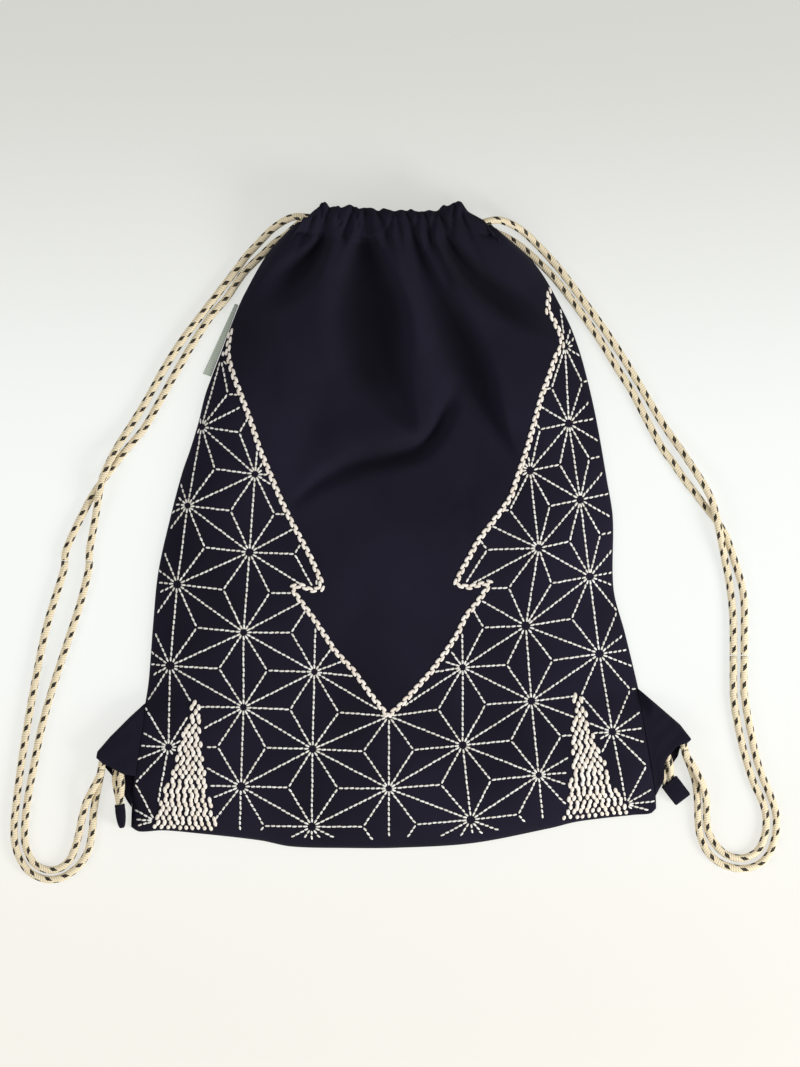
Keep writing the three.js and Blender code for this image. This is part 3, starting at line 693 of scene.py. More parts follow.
@dataclass(frozen=True)
class BagShape:
    """Outline and lie of the bag's two cloths, in millimetres.

    Rows and columns are shares of the cloth's length and of half its width.
    """

    foot: float = -200.0
    top: float = 197.2
    cloth: float = 1.2
    crown: float = 20.5
    mouth_crown: float = 31.0
    crown_rows: Pair = (0.7, 1.0)
    softness: Pair = (24.0, 7.5)
    soft_rows: Pair = (0.8, 1.0)
    base_softness: float = 16.0
    base_power: int = 4
    shoulder_lift: float = 9.5
    lift_rows: Pair = (0.8, 0.98)
    lift_spread: float = 40.0
    shoulder_peak: float = 8.3
    peak_columns: Pair = (0.82, 0.9)
    shoulder_drop: float = 3.7
    drop_columns: Pair = (0.92, 1.0)
    peak_power: int = 14
    back_gap: float = 0.25
    edge: float = 1.5
    edge_round: float = 0.8
    edge_softness: float = 1.6
    tab_lift: float = 10.0
    tab_from: Pair = (-190.0, -165.0)
    tab_until: Pair = (-130.0, -110.0)
    pleat_rise: float = 4.4
    pleat_reach: float = 13.0
    pleat_crest: float = 0.35
    pleat_widening: float = 0.03
    pleat_span: Pair = (-8.0, 30.0)
    pucker: float = 0.55
    pucker_width: float = 3.0
    search_steps: int = 14
    search_reach: Pair = (1.2, 0.1)
    wrinkle_count: int = 70
    # X, Y, angle, length, width, rise and bow of a wrinkle.
    wrinkle_ranges: Line = (
        (-170, 170), (-215, 175), (0, math.pi), (14, 42), (3.5, 9), (-0.55, 0.45), (120, 400),
    )
    left_seam: Line = (
        (-178.5, -205), (-177.9, -190), (-175.7, -170), (-172.1, -145), (-168.2, -117.3), (-166.3, -103),
        (-163.5, -66), (-160, -31), (-151, 9), (-143.5, 37), (-138.6, 51), (-132.8, 70), (-128.4, 88),
        (-124, 100.5), (-118.4, 115), (-109.6, 138), (-101, 157), (-84, 184), (-67, 200),
    )
    right_seam: Line = (
        (178.4, -205), (178.2, -185), (176, -168), (172.1, -145), (166.4, -111.5), (163.6, -99),
        (157, -72), (149.5, -43), (149, 5.6), (145, 31), (138, 71), (132, 98), (125, 122.6),
        (116, 143.5), (95, 176.5), (66, 200),
    )
    base_edge: Line = (
        (-1, -204.6), (-0.97, -207.8), (-0.88, -207), (-0.77, -208.6), (-0.51, -213.8), (-0.39, -218),
        (-0.18, -219), (0.02, -218.8), (0.3, -215.7), (0.6, -205.4), (0.69, -201.4), (0.79, -198.9),
        (0.92, -196.4), (0.98, -195.4), (1, -192),
    )
    folds: tuple[Fold, ...] = (
        Fold((
            (-45, 198, 2.5, -1), (-47, 192, 3.5, -7), (-53, 184, 5.5, -11), (-61, 175, 8, -13),
            (-72, 166, 10, -11), (-85, 158, 10, -6), (-96, 152, 8, -0.5),
        ), squareness=2.5),
        Fold((
            (-19, 198, 4.5, -1), (-19.5, 191, 8, -12), (-19, 172, 14, -19), (-16.5, 145, 22, -21),
            (-13, 115, 20, -17), (-2, 90, 13, -10), (6, 77, 8, -6), (13, 66, 4, -1),
        ), squareness=3.6),
        Fold((
            (10, 198, 2.5, -1), (14.5, 190, 4, -7), (23.5, 164, 6.5, -9), (38.5, 134, 11, -16),
            (51, 107, 12.5, -16.5), (60.5, 86, 9.5, -12), (72, 63, 4.5, -6), (82, 45, 3, -0.5),
        ), squareness=2.8),
        Fold(((22, 198, 2.5, -1), (25, 191, 3.5, -5), (31, 180, 4, -5), (40, 158, 5, -0.5))),
        Fold((
            (31, 198, 2.5, -1), (36, 191, 4, -9), (50, 172, 7, -13), (68, 157, 9, -14), (85, 146, 9, -10.5),
            (98, 138, 7, -5), (112, 129, 5, -0.5),
        ), squareness=2.8),
        Fold((
            (-67, 17, 4, -1.5), (-53, 28, 5.5, -5), (-38, 37, 7, -7), (-20, 45, 7.5, -8.5), (0, 48, 7, -9.5),
            (18, 53, 6, -9.5), (28, 63, 5.5, -9), (34, 75, 6, -7.5), (40, 92, 7, -3),
        ), left_share=0.85),
        Fold(((-36, 196, 5, 0), (-44, 175, 8, 2.4), (-50, 150, 12, 2), (-46, 115, 14, 1))),
        Fold(((-2, 196, 5, 0), (5, 169, 6, 3), (13, 140, 7, 3.4), (20, 110, 8, 3), (25, 87, 8, 1.5))),
        Fold(((-34, 62, 13, 1.2), (-10, 63, 12, 2.8), (12, 62, 9, 3))),
        Fold(((30, 196, 4, 0), (42, 170, 6, 1.8), (58, 140, 9, 1))),
        Fold(((-50, 92, 13, -1), (-56, 66, 14, -3.4), (-66, 42, 12, -2))),
        Fold(((-84, 122, 4, -0.2), (-82, 106, 4, -1.2), (-80, 88, 4, -0.2))),
        Fold(((50, 24, 7, -0.9), (52, -20, 7, -0.9))),
        Fold(((97, -70, 9, 0), (99, 5, 9, 1.3), (101, 80, 9, 0))),
        Fold(((49, 207.5, 3, 0), (55.5, 207, 6.3, -12), (62, 206, 6.9, -14), (70, 204.5, 6.5, -14))),
    )
    pleat_row: float = 207.0
    creases: tuple[tuple[float, float, float, float], ...] = (
        (-54.5, 1.8, 0.5, 0.5), (-49.2, 1.6, 0.5, 0.1), (-45.2, 2.4, 0.95, 0.25), (-37, 1.5, 0.4, -0.25),
        (-29.5, 2.2, 0.9, 0.3), (-24.6, 1.5, 0.55, -0.3), (-19, 3.2, 1, 0.05), (-9, 2.2, 0.8, -0.35),
        (-1.5, 1.6, 0.4, 0.25), (2.5, 1.7, 0.5, -0.15), (10.3, 2.2, 0.85, -0.3), (16, 1.5, 0.4, 0.2),
        (22, 2, 0.8, -0.15), (27.4, 1.6, 0.5, 0.25), (32.5, 2.2, 0.95, -0.35), (40, 1.5, 0.45, 0.1),
        (46.8, 1.8, 0.6, -0.4),
    )

    @property
    def height(self) -> float:
        """Length of the cloth from its foot to the casing."""
        return self.top - self.foot

    def base(self, u: Array) -> Array:
        """Give the height of the base edge at u."""
        return through(self.base_edge, u)

    def seam(self, side: Side, row: Array) -> Array:
        """Give the X of one side seam at a row."""
        points = self.left_seam if side is Side.LEFT else self.right_seam
        return through(np.asarray(points)[:, ::-1], row)

    def plan(self, u: Array, v: Array) -> tuple[Array, Array, Array]:
        """Lay the cloth's own grid on the table.

        Args:
            u: Place across the cloth, -1 to 1.
            v: Place up the cloth, 0 to 1.

        Returns:
            X, Y and half the cloth's width there.
        """
        row = self.foot + v * self.height
        fade = (1 - v) ** self.base_power
        left = self.seam(Side.LEFT, row + (self.base(np.array(-1.0)) - self.foot) * fade)
        right = self.seam(Side.RIGHT, row + (self.base(np.array(1.0)) - self.foot) * fade)
        rise = self.shoulder_peak * smoothstep(*self.peak_columns, np.abs(u))
        drop = self.shoulder_drop * smoothstep(*self.drop_columns, np.abs(u))
        peak = (rise - drop) * np.clip(v, 0, 1) ** self.peak_power
        x = mix(left, right, (u + 1) / 2)
        y = row + (self.base(u) - self.foot) * fade + peak
        return x, y, (right - left) / 2

    def locate(self, x: Array, y: Array) -> tuple[Array, Array]:
        """Find the cloth's own place of a point on the table.

        Args:
            x: X of the points.
            y: Y of the points.

        Returns:
            Their u and v.
        """
        v = (y - self.foot) / self.height
        u = np.zeros_like(v)
        aside, above = self.search_reach
        for _ in range(self.search_steps):
            px, py, half = self.plan(u, v)
            u = np.clip(u + (x - px) / half, -aside, aside)
            v = np.clip(v + (y - py) / self.height, -above, 1 + above)
        return u, v

    def pleat(self, x: Array, y: Array) -> Array:
        """Give the rise of the gathers near the casing.

        Args:
            x: X of the places.
            y: Y of the places.

        Returns:
            pleat_crest on a ridge, down to 1 less in a deep crease.
        """
        drop = self.pleat_row - np.asarray(y, float)
        dips = 0.0
        for at, width, depth, lean in self.creases:
            wide = width * (1 + self.pleat_widening * np.clip(drop, *self.pleat_span))
            dips = dips + depth * np.exp(-(((x - at + lean * drop) / wide) ** 2))
        return self.pleat_crest - np.minimum(dips, 1.0)

    def lift(self, v: Array) -> Array:
        """Give the rise of the side seams towards the mouth."""
        return self.shoulder_lift * smoothstep(*self.lift_rows, v)

    def tab_hold(self, y: Array) -> Array:
        """Give how far the corner loops hold the front cloth's edge up."""
        return self.tab_lift * smoothstep(*self.tab_from, y) * (1 - smoothstep(*self.tab_until, y))

    def back_height(self, u: Array, v: Array) -> Array:
        """Give the height of the back cloth's underside."""
        _, _, half = self.plan(u, v)
        return self.back_gap + self.lift(v) * np.exp(-(1 - np.abs(u)) * half / self.lift_spread)

    def wrinkles(self, x: Array, y: Array) -> Array:
        """Scatter shallow creases of handled cloth.

        Args:
            x: X of the points.
            y: Y of the points.

        Returns:
            Height in millimetres.
        """
        draw = np.random.default_rng(SEED)
        total = np.zeros_like(x)
        for _ in range(self.wrinkle_count):
            drawn = [draw.uniform(low, high) for low, high in self.wrinkle_ranges]
            cx, cy, angle, length, width, rise, bow = drawn
            along = (x - cx) * math.cos(angle) + (y - cy) * math.sin(angle)
            across = (y - cy) * math.cos(angle) - (x - cx) * math.sin(angle)
            bowed = across - along**2 / bow
            total += rise * np.exp(-((along / length) ** 2) - (bowed / width) ** 2)
        return total

    def fold_height(self, x: Array, y: Array) -> Array:
        """Add up the folds of the front cloth."""
        return sum(fold.height(x, y) for fold in self.folds)

    def front_height(self, u: Array, v: Array) -> Array:
        """Give the height of the front cloth's upper side.

        Args:
            u: Place across the cloth, -1 to 1.
            v: Place up the cloth, 0 to 1.

        Returns:
            Height in millimetres, before the stitches pull it in.
        """
        x, y, half = self.plan(u, v)
        inset = np.maximum(1 - np.abs(u), 0) * half
        up = np.maximum(v, 0) * self.height
        lift = self.lift(v)
        rim = self.tab_hold(y) + lift + self.edge
        rim = rim + self.edge_round * (1 - np.exp(-np.minimum(inset, up) / self.edge_softness))
        crown = mix(self.crown, self.mouth_crown, smoothstep(*self.crown_rows, v))
        softness = mix(*self.softness, smoothstep(*self.soft_rows, v))
        swell = (1 - np.exp(-inset / softness)) * (1 - np.exp(-up / self.base_softness))
        shape = self.fold_height(x, y)
        gathered = np.exp(-(1 - np.minimum(v, 1)) * self.height / self.pleat_reach)
        pleats = self.pleat_rise * self.pleat(x, y) * gathered
        return rim + (crown - rim + shape + pleats + self.wrinkles(x, y)) * swell

    def front_surface(self, points: Array) -> tuple[Array, Array]:
        """Find the stitched front cloth under points of the plan.

        Args:
            points: X and Y of each point.

        Returns:
            Points on the cloth where the thread pulls it in, and the cloth's normals.
        """
        x, y = points.T
        heights = []
        for dx, dy in ((0, 0), (1, 0), (-1, 0), (0, 1), (0, -1)):
            u, v = self.locate(x + dx, y + dy)
            heights.append(self.front_height(u, v))
        slope_x = (heights[2] - heights[1]) / 2
        slope_y = (heights[4] - heights[3]) / 2
        normal = unit(np.stack([slope_x, slope_y, np.ones_like(x)], axis=1))
        return np.stack([x, y, heights[0] - self.pucker], axis=1), normal


@dataclass(frozen=True)
class Hand:
    """Unevenness of stitches made by hand.

    Places spread by shift in millimetres, turns by sway in degrees and lengths by stretch as
    a share; slant is the turn that all have, in degrees.
    """

    shift: float
    slant: float
    sway: float
    stretch: float


@dataclass
class StitchRun:
    """Stitches of one piece: where each lies, which way it runs and how long it is."""

    middle: Array
    heading: Array
    length: Array

    def joined(self, other: "StitchRun") -> "StitchRun":
        """Add another run to this one."""
        return StitchRun(
            np.vstack([self.middle, other.middle]),
            np.vstack([self.heading, other.heading]),
            np.concatenate([self.length, other.length]),
        )

    def kept(self, chosen: Array) -> "StitchRun":
        """Keep the chosen stitches."""
        return StitchRun(self.middle[chosen], self.heading[chosen], self.length[chosen])

    def by_hand(self, seed: int, hand: Hand) -> "StitchRun":
        """Make the stitches as uneven as a hand does.

        Args:
            seed: Seed of the unevenness.
            hand: How uneven they get.

        Returns:
            The uneven run.
        """
        draw = np.random.default_rng(seed)
        count = len(self.length)
        turn = np.radians(hand.slant + draw.uniform(-hand.sway, hand.sway, count))
        cosine = np.cos(turn)
        sine = np.sin(turn)
        x, y = self.heading.T
        heading = np.column_stack([x * cosine - y * sine, x * sine + y * cosine])
        middle = self.middle + draw.uniform(-hand.shift, hand.shift, (count, 2))
        stretch = draw.uniform(1 - hand.stretch, 1 + hand.stretch, count)
        return StitchRun(middle, heading, self.length * stretch)


@dataclass
class StitchLayer:
    """Geometry Nodes tree that lays one plump stitch on each point of a mesh."""

    sides: int = 7
    rings: int = 6
    seat: float = 0.28

    def tree(self) -> GeometryNodeTree:
        """Build the tree with its sizes as named inputs.

        Returns:
            The tree, ending in real mesh with its material set.
        """
        tree = bpy.data.node_groups.new("laid_stitches", "GeometryNodeTree")
        for name, flow, kind in (
            ("Places", "INPUT", "Geometry"),
            ("Width", "INPUT", "Float"),
            ("Height", "INPUT", "Float"),
            ("Bluntness", "INPUT", "Float"),
            ("Thread", "INPUT", "Material"),
            ("Stitches", "OUTPUT", "Geometry"),
        ):
            tree.interface.new_socket(name, in_out=flow, socket_type=f"NodeSocket{kind}")
        given = add_node(tree, "NodeGroupInput").outputs
        sizes = {"Segments": self.sides, "Rings": self.rings, "Radius": 1.0}
        ball = add_node(tree, "GeometryNodeMeshUVSphere", sizes).outputs[0]
        spot = add_node(tree, "GeometryNodeInputPosition").outputs[0]
        x, y, z = add_node(tree, "ShaderNodeSeparateXYZ", {0: spot}).outputs
        size = add_node(tree, "ShaderNodeMath", {0: z}, operation="ABSOLUTE").outputs[0]
        ends = {0: size, 1: given["Bluntness"]}
        blunt = add_node(tree, "ShaderNodeMath", ends, operation="POWER").outputs[0]
        way = add_node(tree, "ShaderNodeMath", {0: z}, operation="SIGN").outputs[0]
        tip = add_node(tree, "ShaderNodeMath", {0: blunt, 1: way}, operation="MULTIPLY").outputs[0]
        shaped = add_node(tree, "ShaderNodeCombineXYZ", {0: x, 1: y, 2: tip}).outputs[0]
        stitch = add_node(tree, "GeometryNodeSetPosition", {"Geometry": ball, "Position": shaped})
        along, up, reach = (
            add_node(tree, "GeometryNodeInputNamedAttribute", {"Name": name}, data_type=kind).outputs[0]
            for name, kind in (("along", "FLOAT_VECTOR"), ("up", "FLOAT_VECTOR"), ("reach", "FLOAT"))
        )
        aimed = add_node(tree, "FunctionNodeAlignRotationToVector", {"Vector": along}, axis="Z")
        upright = {"Rotation": aimed.outputs[0], "Vector": up}
        rolled = add_node(tree, "FunctionNodeAlignRotationToVector", upright, axis="Y", pivot_axis="Z")
        extent = {0: given["Width"], 1: given["Height"], 2: reach}
        full = add_node(tree, "ShaderNodeCombineXYZ", extent).outputs[0]
        half = add_node(tree, "ShaderNodeVectorMath", {0: full, "Scale": 0.5}, operation="SCALE")
        copies = {
            "Points": given["Places"],
            "Instance": stitch.outputs[0],
            "Rotation": rolled.outputs[0],
            "Scale": half.outputs[0],
        }
        laid = add_node(tree, "GeometryNodeInstanceOnPoints", copies).outputs[0]
        real = add_node(tree, "GeometryNodeRealizeInstances", {0: laid}).outputs[0]
        dressed = add_node(tree, "GeometryNodeSetMaterial", {"Geometry": real, "Material": given["Thread"]})
        add_node(tree, "NodeGroupOutput", {0: dressed.outputs[0]})
        return tree

    def lay(
        self,
        name: str,
        tree: GeometryNodeTree,
        run: StitchRun,
        shape: BagShape,
        thread: Triple,
        material: Material,
        seed: int,
    ) -> Object:
        """Lay a run of stitches on the front cloth.

        Args:
            name: Name of the piece.
            tree: Tree that lays them.
            run: Stitches in the plan.
            shape: Bag that carries them.
            thread: Width and height of a stitch in millimetres, and the power that rounds its ends.
            material: Thread of the stitches.
            seed: Seed of their tints.

        Returns:
            One mesh with every stitch.
        """
        width, height, bluntness = thread
        middle, normal = shape.front_surface(run.middle)
        flat = np.column_stack([run.heading, np.zeros(len(run.heading))])
        along = unit(flat - normal * np.sum(flat * normal, axis=1, keepdims=True))
        mesh = bpy.data.meshes.new(name)
        mesh.from_pydata(((middle + normal * height * self.seat) * MM).tolist(), [], [])
        tint = np.random.default_rng(seed).uniform(0, 1, len(middle))
        for label, kind, key, values in (
            ("along", "FLOAT_VECTOR", "vector", along),
            ("up", "FLOAT_VECTOR", "vector", normal),
            ("reach", "FLOAT", "value", run.length * MM),
            ("tint", "FLOAT", "value", tint),
        ):
            data = mesh.attributes.new(label, kind, "POINT").data
            data.foreach_set(key, values.astype(np.float32).ravel())
        obj = new_object(name, mesh)
        modifier = obj.modifiers.new("stitches", "NODES")
        modifier.node_group = tree
        wanted = {"Width": width * MM, "Height": height * MM, "Bluntness": bluntness, "Thread": material}
        for item in tree.interface.items_tree:
            if item.in_out == "INPUT" and item.name in wanted:
                modifier[item.identifier] = wanted[item.name]
        return settle(obj)


@dataclass
class Embroidery:
    """Star lattice, rope border and filled triangles, laid out in the plan of the front cloth."""

    pitch: float = 3.5
    stitch_share: float = 0.93
    star_hole: float = 2.3
    hole_spread: float = 0.5
    centre_hole: float = 0.6
    seam_margin: float = 1.5
    base_margin: float = 7.0
    corner_margin: float = 3.0
    corner_columns: Pair = (0.8, 0.97)
    border_margin: float = 2.3
    triangle_margin: float = 0.012
    top_row: float = 0.99
    star_hand: Hand = Hand(shift=0.12, slant=4.0, sway=4.0, stretch=0.08)
    rope_unit: float = 5.65
    rope_side: float = 0.8
    rope_turn: float = 7.0
    rope_grain: float = 4.9
    row_step: float = 3.1
    row_lead: float = 0.4
    row_drift: float = 0.2
    base_flare: Pair = (0.12, 6.0)
    grain_step: float = 4.25
    grain_length: float = 4.6
    last_grain_length: float = 3.8
    grain_fan: Pair = (0.7, 1.0)
    grain_hand: Hand = Hand(shift=0.45, slant=0.0, sway=13.0, stretch=0.15)
    spare_rows: int = 2
    last_row: float = 9.0
    mirrored_rows: Pair = (-0.5, 7.0)
    columns: tuple[tuple[float, Line], ...] = (
        (0.0, ((-162.3, -200.1), (-152.4, -149.8), (-151.6, -94.9), (-146.7, -39.6), (-139.7, 13.7),
               (-130.2, 67.3), (-117.1, 113.4))),
        (0.5, ((-103.4, -176.3), (-101.6, -122.8), (-101.6, -72.1), (-97.6, -17.9), (-93.8, 35),
               (-89.6, 87.6))),
        (0.0, ((-55.5, -203.8), (-54.9, -151), (-53.7, -98.8), (-52.5, -46), (-51, 7))),
        (-0.5, ((-3.3, -230), (-3.3, -177.7), (-3.2, -128.7))),
        (0.0, ((52.3, -199.1), (46.7, -148.4), (46.7, -95.7), (46, -43))),
        (0.5, ((98.1, -168.6), (93.2, -118.6), (89.4, -67.7), (98.1, -15), (92.3, 37.5), (86, 89))),
        (0.0, ((157.8, -188.7), (148, -139.4), (139.3, -86.7), (132.8, -34.3), (126.3, 17.8),
               (118.7, 69.4), (116, 121.6), (110.4, 170))),
    )
    left_border: Line = (
        (-110.4, 132), (-111.6, 125), (-112.4, 117.5), (-110.6, 109), (-107.8, 100), (-102.5, 86.2),
        (-96.4, 69.9), (-90.6, 51.5), (-85.5, 39.3), (-76.6, 18.2), (-69.5, 3.3), (-62.4, -9.7),
        (-55.6, -22.6), (-49.4, -36.9), (-48.8, -42.3), (-55.6, -43.7), (-62.4, -40.3), (-68.9, -41.3),
        (-66.4, -46.4), (-52.8, -64.7), (-39.9, -84.5), (-27.7, -97.4), (-15.4, -114.4), (-3.9, -128.7),
    )
    right_border: Line = (
        (104.9, 159.7), (104.2, 145.4), (107.6, 141.3), (113.1, 129.7), (114.2, 122.9), (109.7, 114.8),
        (104.9, 100.5), (100.2, 88.3), (94.7, 67.9), (90.6, 52.9), (83.2, 31.1), (79.8, 20.3),
        (72.3, 9.4), (63.8, -1.5), (56.6, -11), (51.6, -20.5), (45.8, -30.7), (41.7, -39.6),
        (50.5, -41.6), (58.7, -39.6), (65.5, -38.2), (62.8, -43), (56, -52.5), (48.8, -61),
        (43, -73.6), (34.9, -85.8), (25.4, -98.7), (15.5, -109.6), (5.6, -120.5), (-3.9, -128.7),
    )
    field_top: Line = ((100, 200), (60, 230), (-60, 230), (-105, 170))
    left_triangle: tuple[Pair, Pair, Pair] = ((-133.4, -112.1), (-165.4, -204.1), (-119.8, -204.8))
    right_triangle: tuple[Pair, Pair, Pair] = ((122.4, -107.6), (115.5, -197.7), (159.2, -193.9))

    def border(self, side: Side) -> Array:
        """Give the border line of one side from its top to the point of the field."""
        return np.asarray(self.left_border if side is Side.LEFT else self.right_border, float)

    def triangle(self, side: Side) -> Array:
        """Give the corners of one filled triangle, its apex first."""
        return np.asarray(self.left_triangle if side is Side.LEFT else self.right_triangle, float)

    def lattice(self) -> dict[tuple[int, float], Array]:
        """Find the stars, with the outer columns mirrored past the seams.

        Returns:
            Place of each star by column and row.
        """
        stars: dict[tuple[int, float], Array] = {}
        for column, (first, places) in enumerate(self.columns, -3):
            known = np.asarray(places, float)
            rows = first + np.arange(len(known))
            for row in np.arange(rows[0] - self.spare_rows, self.last_row):
                k = int(round(row - rows[0]))
                if k < 0:
                    stars[column, row] = known[0] + k * (known[1] - known[0])
                elif k >= len(known):
                    stars[column, row] = known[-1] + (k - len(known) + 1) * (known[-1] - known[-2])
                else:
                    stars[column, row] = known[k]
        for outer, near, far in ((-4, -3, -2), (4, 3, 2)):
            for row in np.arange(*self.mirrored_rows):
                stars[outer, row] = stars[near, row - 0.5] + stars[near, row + 0.5] - stars[far, row]
        return stars

    def segment(self, start: Array, end: Array, holes: Pair) -> StitchRun:
        """Run stitches along one line.

        Args:
            start: First end of the line.
            end: Other end of the line.
            holes: Bare length at each end.

        Returns:
            The stitches.
        """
        gap = end - start
        full = float(np.linalg.norm(gap))
        way = gap / full
        run = full - sum(holes)
        count = max(1, round(run / self.pitch))
        step = run / count
        at = holes[0] + (np.arange(count) + 0.5) * step
        return StitchRun(
            start + at[:, None] * way,
            np.repeat(way[None], count, axis=0),
            np.full(count, step * self.stitch_share),
        )

    def stars(self, shape: BagShape) -> StitchRun:
        """Stitch the star lattice where the cloth shows it.

        Args:
            shape: Bag whose cloth is stitched.

        Returns:
            The stitches.
        """
        places = self.lattice()
        draw = np.random.default_rng(SEED + 7)
        low = self.star_hole - self.hole_spread
        holes = {key: draw.uniform(low, self.star_hole + self.hole_spread) for key in places}
        run = StitchRun(np.empty((0, 2)), np.empty((0, 2)), np.empty(0))
        for (column, row), star in places.items():
            for step in ((0, 1.0), (1, 0.5), (1, -0.5)):
                other = (column + step[0], row + step[1])
                if other in places:
                    run = run.joined(self.segment(star, places[other], (holes[column, row], holes[other])))
            above = (column, row + 1)
            for beside in (-1, 1):
                third = (column + beside, row + 0.5)
                if above not in places or third not in places:
                    continue
                corners = ((column, row), above, third)
                centre = sum(places[key] for key in corners) / 3
                for key in corners:
                    run = run.joined(self.segment(centre, places[key], (self.centre_hole, holes[key])))
        return run.kept(self.shown(run.middle, shape)).by_hand(SEED + 8, self.star_hand)

    def shown(self, points: Array, shape: BagShape) -> Array:
        """Tell which star stitches lie on the stitched part of the cloth.

        Args:
            points: Middles of the stitches.
            shape: Bag that carries them.

        Returns:
            One truth value for each.
        """
        u, v = shape.locate(points[:, 0], points[:, 1])
        _, _, half = shape.plan(u, v)
        borders = np.vstack([evenly(self.border(side), 1.0) for side in Side])
        field = np.vstack([self.border(Side.LEFT), self.border(Side.RIGHT)[::-1], self.field_top])
        good = (1 - np.abs(u)) * half > self.seam_margin
        margin = mix(self.base_margin, self.corner_margin, smoothstep(*self.corner_columns, np.abs(u)))
        good &= (points[:, 1] > shape.base(u) + margin) & (v < self.top_row)
        good &= ~inside(field, points)
        for side in Side:
            corners = self.triangle(side)
            grown = corners + (corners - corners.mean(axis=0)) * self.triangle_margin
            good &= ~inside(grown, points)
        good &= nearness(borders, points) > self.border_margin
        return good

    def rope(self, side: Side) -> StitchRun:
        """Lay the two slanting grains of each turn along a border.

        Args:
            side: Side of the bag.

        Returns:
            The grains.
        """
        line = evenly(self.border(side), self.rope_unit / 2)
        way = unit(np.gradient(line, axis=0))
        beside = np.column_stack([-way[:, 1], way[:, 0]])
        alternate = np.where(np.arange(len(line)) % 2 == 0, 1.0, -1.0)[:, None]
        turn = math.radians(self.rope_turn) * alternate
        heading = way * np.cos(turn) + beside * np.sin(turn)
        middle = line + beside * alternate * self.rope_side
        return StitchRun(middle, heading, np.full(len(line), self.rope_grain))

    def filled(self, side: Side) -> StitchRun:
        """Fill a triangle with staggered rows of leaf-shaped grains that fan from its apex.

        Args:
            side: Side of the bag.

        Returns:
            The grains.
        """
        apex, first, last = self.triangle(side)
        foot = (first + last) / 2
        width = float(np.linalg.norm(last - first))
        across = (last - first) / width
        flare, power = self.base_flare
        rows = int(float(np.linalg.norm(foot - apex)) / self.row_step)
        drift = np.random.default_rng(SEED + 10).uniform(-self.row_drift, self.row_drift, rows + 1)
        middles = []
        lengths = []
        for row in range(rows + 1):
            share = (row + self.row_lead) / (rows + self.row_lead)
            centre = mix(apex, foot, share)
            half = width * ((1 - flare) * share + flare * share**power) / 2
            offset = (0.5 if row % 2 else 0.0) + drift[row]
            half_count = int(half / self.grain_step + 0.5)
            for k in range(-half_count, half_count + 1):
                at = (k + offset) * self.grain_step
                if abs(at) <= half:
                    middles.append(centre + across * at)
                    lengths.append(self.last_grain_length if row == rows else self.grain_length)
        middle = np.asarray(middles)
        heading = (middle - apex) * np.array(self.grain_fan)
        heading[0] = foot - apex
        return StitchRun(middle, unit(heading), np.asarray(lengths)).by_hand(SEED + 9, self.grain_hand)


@dataclass
class ThreadWork:
    """All the thread on the front cloth: width, height and roundness of each kind of stitch."""

    layout: Embroidery
    star_thread: Triple = (1.42, 1.05, 0.72)
    rope_thread: Triple = (2.3, 1.7, 0.85)
    grain_thread: Triple = (2.75, 1.9, 1.1)

    def build(self, shape: BagShape, white: Material, cream: Material) -> None:
        """Lay every stitch, one mesh for each side and kind.

        Args:
            shape: Bag that carries the thread.
            white: Thread of the star lattice.
            cream: Thicker thread of the border and the triangles.
        """
        layer = StitchLayer()
        tree = layer.tree()
        stars = self.layout.stars(shape)
        middle = self.layout.left_border[-1][0]
        for seed, side in enumerate(Side, SEED):
            half = stars.kept((stars.middle[:, 0] < middle) == (side is Side.LEFT))
            rope = self.layout.rope(side)
            filled = self.layout.filled(side)
            for kind, run, thread, material, solids in (
                ("star_stitching", half, self.star_thread, white, ()),
                ("rope_border", rope, self.rope_thread, cream, ("border_stitching",)),
                ("filled_triangle", filled, self.grain_thread, cream, ("triangle_stitching",)),
            ):
                piece = layer.lay(f"{side.value}_{kind}", tree, run, shape, thread, material, seed)
                place(piece, Body.BAG, Slot.THREAD, *(f"{side.value}_{solid}" for solid in solids))


